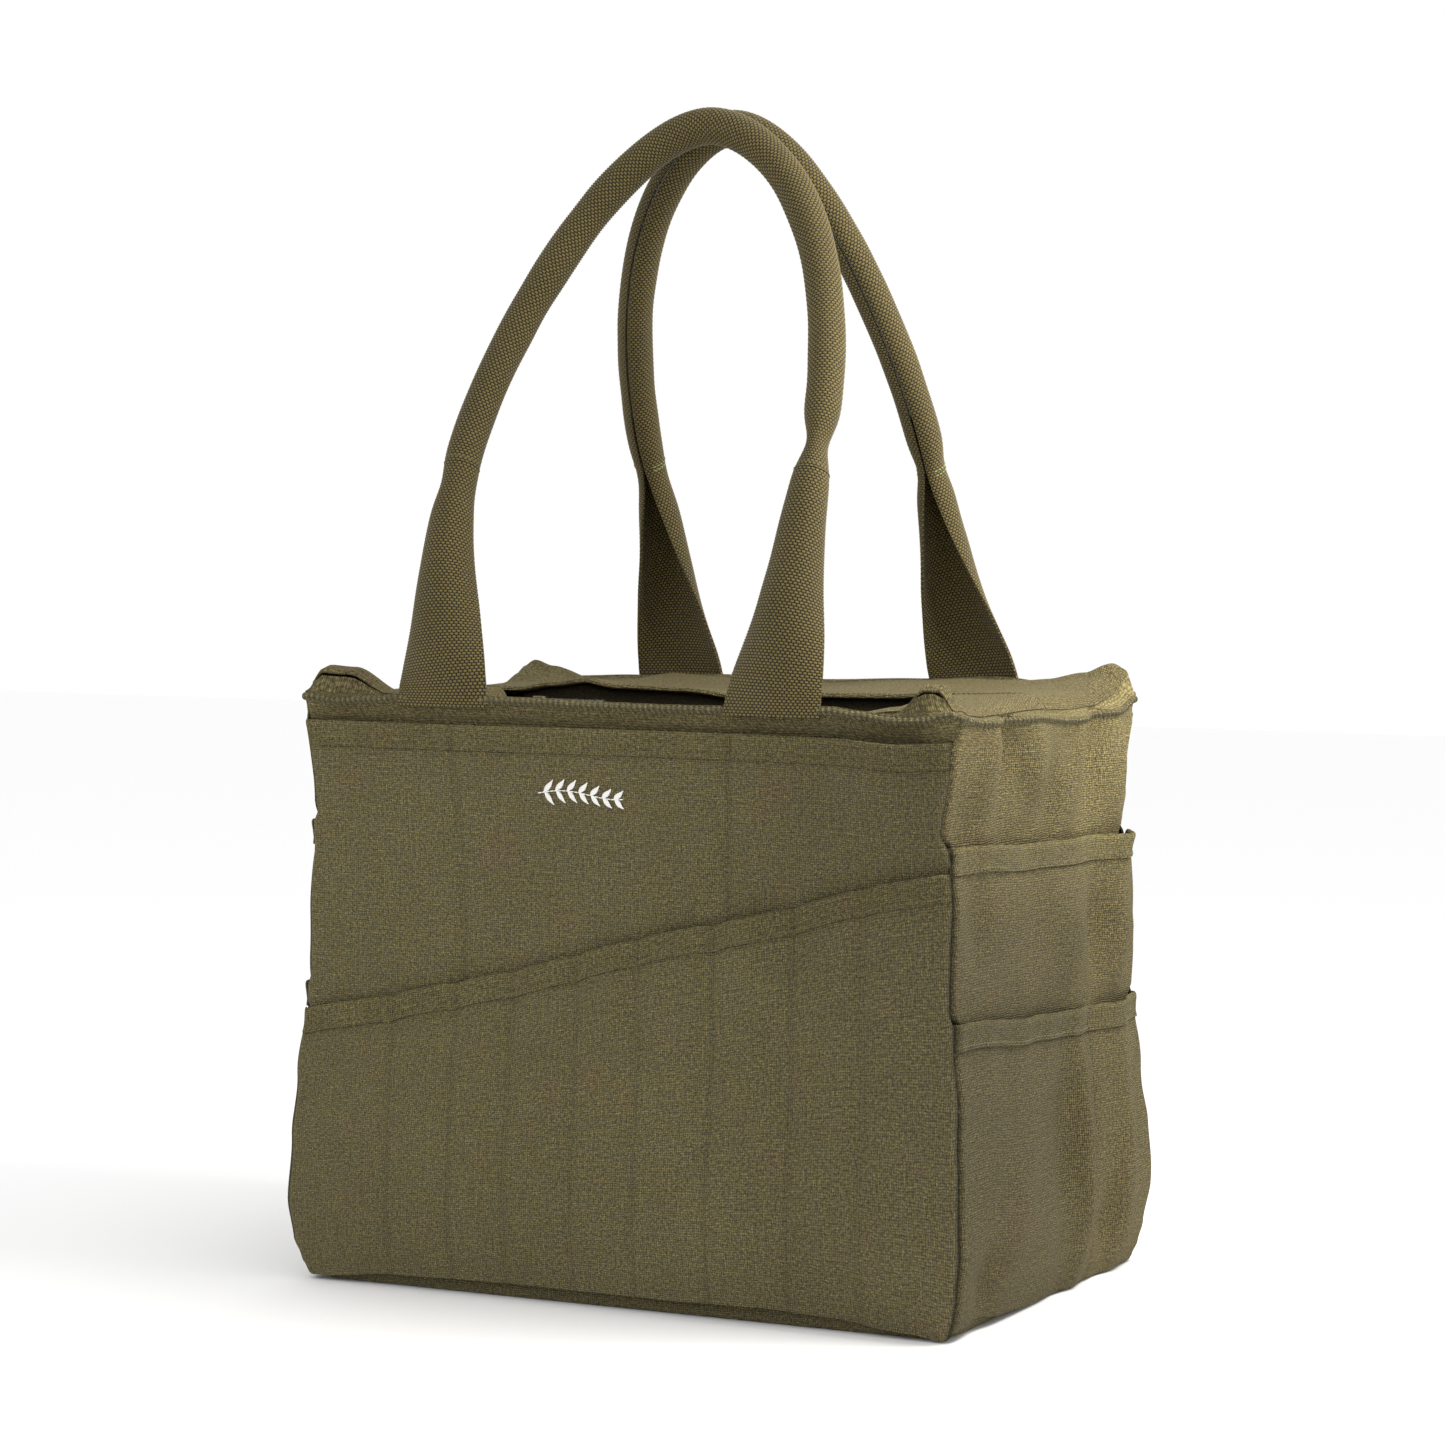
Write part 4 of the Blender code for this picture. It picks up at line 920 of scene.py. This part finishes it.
def build_welt():
    """The overlocked edge where walls and cover are sewn together: a cord wound with thread."""
    ks = panel_steps(160, 5)[:-1]
    tops = [rim_height(side, along_side(side, ks, TOP)) - 0.0006 for side in ORDER]
    path = np.concatenate([around(side, ks, top, -0.0001, "wall") for side, top in zip(ORDER, tops)])
    centre, marks, length = resample_ring(path, WELT_COUNT)
    tangent = unit(np.roll(centre, -2, 0) - np.roll(centre, 2, 0))
    up = unit(np.array([0.0, 0.0, 1.0]) - tangent * tangent[:, 2:3])
    side = np.cross(tangent, up)
    phase = 2 * math.pi * round(length / WELT_TURN) * marks / length
    angles = np.linspace(0, 2 * math.pi, 13)[:-1]
    wave = 0.5 + 0.5 * np.sin(phase[:, None] + angles)
    radius = (0.00142 + 0.00056 * wave) * (1 + 0.1 * noise(centre, 0.006, 21)[:, None])
    grid = (centre[:, None] + side[:, None] * (radius * np.cos(angles))[..., None] * 0.9
            + up[:, None] * (radius * np.sin(angles))[..., None])
    faces = grid_faces(WELT_COUNT + 1, 12, True)[:, ::-1] % (WELT_COUNT * 12)
    uv = stack(marks[:, None], angles * 0.0016, 0)[..., :2].reshape(-1, 2)
    # the colour factor follows the winding: painted shade in the grooves between the turns of thread, painted
    # highlight on the turns
    welt = make_object("top_edge_welt", grid.reshape(-1, 3), faces, uv, 0.52 + 0.72 * wave, WELT, 180.0)
    finish_piece(welt, "binding", "root",
                 *["top_edge_piping_" + side for side in ("front", "back", "left", "right")])


# ---- cover ---------------------------------------------------------------------------------------
END_X = RIM_X - 0.0034


def hem_gap(x):
    """How far each free edge stays from the middle: nearly closed at the cover's ends."""
    return 0.0007 + (COVER_EDGE - 0.0007) * smooth((x + 0.15) / 0.045) * smooth((0.145 - x) / 0.05)


# the free edge turned under: how far back from it, and how high over the cover
HEM_TURN = ((-0.0005, 0.0001), (-0.0006, -0.0009), (0.001, -0.0013), (0.0045, -0.0014), (0.008, -0.0012))
COVER_NODES = {("front", "left"): ("cover_front_flap", "cover_left_end"),
               ("front", "right"): ("cover_right_end",),
               ("back", "left"): ("cover_back_flap",)}


def build_cover():
    """Each half of the cover in two pieces, left and right of the middle, each with stitching near its free
    edge.
    """
    for sign, side, way, end in ((-1, "front", -1, "left"), (-1, "front", 1, "right"),
                                 (1, "back", -1, "left"), (1, "back", 1, "right")):
        x = np.sort(np.linspace(0, END_X, 150) * way)
        reach = FOLD_Y - hem_gap(x)
        share = spread((0, 16), (0.16, 46), (0.9, 12), end=1)[:, None]
        top = cover_point(sign, x, 0.0002 + share * (reach - 0.0002), 0.0007)
        grid = np.concatenate([top, [cover_point(sign, x, reach - back, out) for back, out in HEM_TURN]])
        shade_and_tone = np.ones(grid.shape[:2])
        shade_and_tone[-8:-3] = 1.08
        if sign > 0:
            grid = grid[:, ::-1]
        piece = shell(f"cover_{side}_{end}", grid, 0.0009, SIDE_OLIVE, shade_and_tone)
        start, stop = (way * 0.158, 0, 0), (way * (0.128 if way < 0 else 0.11), 0, 0)
        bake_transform(piece)
        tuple(start)
        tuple(stop)
        if (side, end) in COVER_NODES:
            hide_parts(*COVER_NODES[side, end])
        x = np.linspace(0.002, END_X - 0.012, 200) * way
        line, above = (cover_point(sign, x, FOLD_Y - hem_gap(x) - 0.0036, out) for out in (0.00075, 0.00175))
        runs = run_along(line, (above - line) / 0.001, 0.0028)
        sewn = stitches(f"cover_{side}_{end}_stitching", runs, 0.00055, SEWING)
        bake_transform(sewn)
        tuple(start)
        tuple(stop)


TAPE_Z, TEETH_Z = 0.2796, 0.2794                # height of the back tape's inner edge and of its teeth
TOOTH_PITCH, UNDER = 0.0025, -0.0022
# half width, half height and distance in from the teeth's own edges, root to tip
TOOTH = ((0.00085, 0.001, 0.0), (0.00085, 0.001, 0.6), (0.0005, 0.0007, 1.0))


def build_zip():
    for sign, side, left in ((-1, "front", -0.095), (1, "back", -0.12)):
        x = np.linspace(left, 0.105, 140)
        share = np.linspace(0, 1, 7)[:, None]
        reach = (FOLD_Y - hem_gap(x) - 0.005) * (1 - share) + (FOLD_Y - 0.0034) * share
        grid = cover_point(sign, x, reach, UNDER)
        if sign > 0:
            grid[..., 2] += (TAPE_Z - grid[..., 2]) * smooth(share)
            grid = grid[:, ::-1]
        tape = shell(f"zip_tape_{side}", grid, 0.0005, TAPE)
        finish_piece(tape, "zip_tape", "cover_" + side, f"zip_{side}_tape")

        verts, faces = [], []
        for x in np.arange(left + 0.001 + (TOOTH_PITCH / 2 if sign > 0 else 0), 0.1, TOOTH_PITCH):
            first = len(verts)
            for wide, tall, share in TOOTH:
                px, py, pz = cover_point(sign, x, FOLD_Y - 0.004 + share * 0.0031, UNDER)
                pz = TEETH_Z if sign > 0 else pz
                verts += [(px + dx * wide, py, pz + dz * tall)
                          for dx, dz in ((-1, -1), (1, -1), (1, 1), (-1, 1))]
            faces += [[first + i for i in face] for face in ((0, 1, 2, 3), (8, 11, 10, 9))]
            faces += [[first + i for i in (a, a + 4, b + 4, b)] for ring in (0, 4)
                      for a, b in ((ring + j, ring + (j + 1) % 4) for j in range(4))]
        teeth = make_object(f"zip_teeth_{side}", verts, faces, material=TEETH, sharp=30.0)
        finish_piece(teeth, "metal", "cover_" + side, f"zip_{side}_teeth")


# ---- handles -------------------------------------------------------------------------------------
# points across, steps to a row of the webbing, and the inner face's step across
STRAP_COLUMNS, ROW_STEPS, WIDE = 92, 3, 7
ROW_STEP = ROW_PITCH / ROW_STEPS
ARCH_POWER = 2 / 1.8                            # how round the arch of a handle is
SMOOTHING = 12                                  # points to each side that are averaged


def handle_centres(feet, apex, sway, bow):
    """Centre line from the left foot over the arch to the right foot, as x and height above the feet."""
    middle, half = (feet[0] + feet[1]) / 2, (feet[1] - feet[0]) / 2
    t = np.linspace(0, 1, 200)[:-1]
    leg = np.stack([half + bow * np.sin(math.pi * t / 2), LEG * t], 1)
    angle = math.pi / 2 * (1 - np.linspace(0, 1, 400))
    rise = LEG + (RISE - LEG) * np.clip(np.cos(angle), 0, 1) ** ARCH_POWER
    right = np.concatenate([leg, np.stack([(half + bow) * np.sin(angle) ** ARCH_POWER, rise], 1)[:-1]])
    path = np.concatenate([right * (-1, 1), [(0.0, RISE)], right[::-1]])
    t = path[:, 1] / RISE
    path[:, 0] += middle + (apex - middle) * t + sway * np.sin(math.pi * t ** 0.8)
    return path


def handle_line(sign, path):
    """Even steps along a handle's middle, with the ways out of the bag and across the strap at each."""
    t = path[:, 1] / RISE
    lean = (FOOT_Y - TUBE - STRAP_THICK / 2 - 0.0003) * t * t * (2.6 - 1.6 * t)
    centre = stack(path[:, 0], sign * (FOOT_Y + 0.0006 - lean), path[:, 1] + TOP)
    centre[:, 2] += 0.0024 * smooth(1 - path[:, 1] / 0.1)
    drop = (0, 0, 0.0012)
    centre = np.concatenate([[centre[0] - drop], centre, [centre[-1] - drop]])
    travel = travel_along(centre)
    count = int(travel[-1] / ROW_STEP) // 6 * 6 + 1
    centre = interpolate(np.linspace(0, travel[-1], count), travel, centre)
    kernel = np.exp(-(np.arange(-SMOOTHING, SMOOTHING + 1) / 5.0) ** 2)
    padded = np.pad(centre, ((SMOOTHING, SMOOTHING), (0, 0)), mode="edge")
    smoothed = np.stack([np.convolve(padded[:, i], kernel / kernel.sum(), "valid") for i in range(3)], 1)
    smoothed[:SMOOTHING, 2], smoothed[-SMOOTHING:, 2] = centre[:SMOOTHING, 2], centre[-SMOOTHING:, 2]
    tangent = unit(np.gradient(smoothed, axis=0))
    foot = smooth((smoothed[:, 2] - 0.287) / 0.02)[:, None]
    tangent = unit(tangent * foot + stack(0.0, 0.0, np.sign(tangent[:, 2])) * (1 - foot))
    outward = np.array([0.0, sign, 0.0])
    normal = unit(outward - tangent * (tangent @ outward)[:, None])
    return smoothed, normal, np.cross(tangent, normal)


def strap_faces(ra, ca, rb, cb):
    """Faces of a fine outer grid, a coarse inner one, and the edges that join them."""
    base = ra * ca
    faces = grid_faces(ra, ca, flip=True).tolist() + grid_faces(rb, cb, start=base).tolist()
    for i in range(rb - 1):
        for column, near, turn in ((0, 0, 1), (ca - 1, cb - 1, -1)):
            rim = [(ROW_STEPS * i + j) * ca + column for j in range(ROW_STEPS + 1)]
            faces.append((rim + [base + (i + 1) * cb + near, base + i * cb + near])[::turn])
    for line, near, turn in ((0, 0, -1), (ra - 1, rb - 1, 1)):
        for i in range(cb - 1):
            rim = [line * ca + WIDE * i + j for j in range(WIDE + 1)]
            faces.append((rim + [base + near * cb + i + 1, base + near * cb + i])[::turn])
    return faces


def build_handle(side, sign, feet, apex, sway, bow, pinches):
    """A wide webbing strap, flat at its feet and rolled round a cord above."""
    centre, normal, across = handle_line(sign, handle_centres(feet, apex, sway, bow))
    count = len(centre)
    height = centre[:, 2] - TOP
    legs = np.arange(count) < count // 2, np.arange(count) >= count // 2
    curl = STRAP / TUBE * np.clip(height / LEG, 0.012, 1) ** 0.85
    squeeze, kink = np.ones(count), np.zeros(count)
    for here, (at, narrow, wide, push) in zip(legs, pinches):
        bell = np.exp(-(((height - at) / wide) ** 2)) * here
        squeeze = squeeze * (1 - (1 - narrow) * bell)
        kink = kink + push * bell

    w = np.linspace(-0.5, 0.5, STRAP_COLUMNS)
    row = np.arange(count)
    stagger = 0.5 * ((row // ROW_STEPS) % 2)[:, None]
    relief = np.abs(np.sin(math.pi * (w * STRAP / BUMP_PITCH + stagger))) ** 0.7
    relief = relief * np.array([0.12, 0.9, 0.9])[row % ROW_STEPS][:, None]
    relief = relief * (0.55 + 0.45 * np.clip((0.5 - np.abs(w)) / 0.025, 0, 1))
    angle = curl[:, None] * w
    aside = STRAP / curl[:, None] * np.sin(angle) * squeeze[:, None]
    out = STRAP / curl[:, None] * (np.cos(angle) - (np.sin(curl / 2) / (curl / 2))[:, None])
    out = out * (0.5 + 0.5 * squeeze[:, None])
    place = (centre + kink[:, None] * across)[:, None] + aside[..., None] * across[:, None]
    place = place + out[..., None] * normal[:, None]
    face = np.sin(angle)[..., None] * across[:, None] + np.cos(angle)[..., None] * normal[:, None]
    uneven = 0.0004 * noise(place, 0.02, 31 + sign)
    outer = place + face * (STRAP_THICK / 2 - 0.0004 + 0.00062 * relief + uneven)[..., None]
    inner = place - face * STRAP_THICK / 2
    uv = stack(w * STRAP, (row * ROW_STEP)[:, None], 0)[..., :2]
    half_row = (count // 2) // 6 * 6
    for name, rows in (("left", slice(0, half_row + 1)), ("right", slice(half_row, count))):
        fine, coarse = outer[rows], inner[rows][::ROW_STEPS, ::WIDE]
        verts = np.concatenate([fine.reshape(-1, 3), coarse.reshape(-1, 3)])
        uvs = np.concatenate([uv[rows].reshape(-1, 2), uv[rows][::ROW_STEPS, ::WIDE].reshape(-1, 2)])
        strap = make_object(f"{side}_handle_{name}", verts, strap_faces(*fine.shape[:2], *coarse.shape[:2]),
                            uvs, material=STRAPS, sharp=60.0)
        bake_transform(strap)
        if name == "left":
            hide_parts(side + "_handle_strap")

    inside = np.where(height > 0.143)[0][::8]
    turns = np.linspace(0, 2 * math.pi, 13)[:-1, None]
    round_way = np.cos(turns) * across[inside][:, None] + np.sin(turns) * normal[inside][:, None]
    cord = centre[inside][:, None] + 0.0054 * round_way
    faces = grid_faces(len(inside), 12, True).tolist()
    faces += [list(range(12))[::-1], list(range((len(inside) - 1) * 12, len(inside) * 12))]
    filler = make_object(side + "_handle_filler", cord.reshape(-1, 3), faces, material=CORD)
    finish_piece(filler, "cord", side + "_handle", side + "_handle_core")

    runs = []
    for here in legs:
        first = np.where(here, np.abs(height - 0.117), 1.0).argmin()
        for i in (first, first + 5):
            runs += run_along(outer[i, 8:-8] + face[i, 8:-8] * 0.0001, face[i, 8:-8], 0.0024)
    sewn = stitches(side + "_handle_bartacks", runs, 0.0006, GREEN if side == "back" else SEWING, 0.85)
    finish_piece(sewn, "binding", side + "_handle")


# ---- embroidery ----------------------------------------------------------------------------------
SPRIG_LEFT, SPRIG_Z, SPRIG_LONG = -0.041, 0.244, 0.0455


def build_embroidery():
    """A small white sprig: a stem with paired leaves in satin stitch."""
    def at(x, z):
        depth = pocket_depth("front_upper", x, z, 0.2755, UPPER_DIVIDERS, 0.0013, 0.0006) + 0.00035
        p, q = (around("front", x / face_half("front", 0.15), z, depth + out, "upper") for out in (0, 0.001))
        return p, (q - p) / 0.001

    def stem(t):
        return SPRIG_LEFT + SPRIG_LONG * t, SPRIG_Z + 0.0016 * math.sin(t * 5.2)

    lines = [(stem(a / 21), stem((a + 1) / 21)) for a in range(21)]
    for t in np.linspace(0.08, 0.9, 7):
        x, z = stem(t)
        for way in (1, -1):
            lean = math.radians(52 - 10 * t) * way
            ax, az = math.cos(lean), math.sin(lean)
            for s in np.linspace(0.08, 0.98, 15):
                w = 0.0029 * math.sin(math.pi * s ** 0.8) * 0.5
                cx, cz = (v + a * (s * (0.0074 - 0.0016 * t)) for v, a in ((x, ax), (z, az)))
                lines.append(((cx - az * w - ax * 0.0006, cz + ax * w - az * 0.0006),
                              (cx + az * w + ax * 0.0006, cz - ax * w + az * 0.0006)))
    runs = [(at(*a)[0], at(*b)[0], at(*a)[1]) for a, b in lines]
    finish_piece(stitches("embroidered_sprig", runs, 0.00062, WHITE, 1.0, 0.3), "cord", "root")


# ---- build ---------------------------------------------------------------------------------------
build_base()
build_walls()
build_pockets()
build_welt()
build_cover()
build_zip()
build_handle("front", -1, (-0.0955, 0.082), -0.003, -0.0033, 0.007,
             ((0.108, 0.86, 0.01, 0.0008), (0.128, 0.52, 0.01, 0.0)))
build_handle("back", 1, (-0.082, 0.088), 0.0, -0.005, -0.005,
             ((0.112, 0.8, 0.012, 0.0), (0.116, 0.78, 0.01, 0.0)))
build_embroidery()
finish_piece(stitches("pocket_stitching", RUNS, 0.00058, SEWING), "binding", "root")

for node, material in (("zip_front_top_stop", TEETH), ("zip_back_top_stop", TEETH),
                       ("zip_bottom_stop", TEETH), ("zip_slider_body", SILVER), ("zip_pull_tab", SILVER)):
    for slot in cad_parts[node].material_slots:
        slot.material = material


# ---- floor, light, camera ------------------------------------------------------------------------
def build_studio():
    bpy.ops.mesh.primitive_plane_add(size=8.0, location=(0, 0, -0.0004))
    floor = bpy.context.object
    floor.name = "studio_floor"
    g = Graph("studio_white", 0.9)
    g.colour((0.97, 0.97, 0.97))
    floor.data.materials.append(g.material)
    world = bpy.data.worlds.new("studio_world")
    world.use_nodes = True
    world.node_tree.nodes["Background"].inputs[0].default_value = (1.0, 1.0, 1.0, 1.0)
    world.node_tree.nodes["Background"].inputs[1].default_value = 1.0
    bpy.context.scene.world = world
    for name, place, size, power, tint in (
            ("key", (0.46, 0.03, 0.68), 0.3, 5.6, (1.0, 0.96, 0.9)),
            ("front", (-0.7, -2.1, 1.5), 1.2, 6.0, (1.0, 1.0, 1.0))):
        light = bpy.data.lights.new(name, "AREA")
        light.size = size
        light.energy = power
        light.color = tint
        lamp = bpy.data.objects.new(name, light)
        lamp.location = place
        aim = Vector((0.3, 0.03, 0.0)) if name == "key" else Vector((0, 0, 0.18))
        lamp.rotation_euler = (Vector(place) - aim).to_track_quat("Z", "Y").to_euler()
        bpy.context.scene.collection.objects.link(lamp)


def build_camera():
    camera = bpy.data.cameras.new("camera")
    camera.sensor_width = 36.0
    camera.lens = 105.48
    eye = bpy.data.objects.new("camera", camera)
    eye.location = (0.95145, -1.87865, 0.4102)
    yaw, pitch = math.radians(26.878), math.radians(3.682)
    back = Vector((math.sin(yaw) * math.cos(pitch), -math.cos(yaw) * math.cos(pitch), math.sin(pitch)))
    eye.rotation_euler = (-back).to_track_quat("-Z", "Y").to_euler()
    bpy.context.scene.collection.objects.link(eye)
    bpy.context.scene.camera = eye


build_studio()
build_camera()
bpy.context.scene.view_settings.view_transform = "Standard"
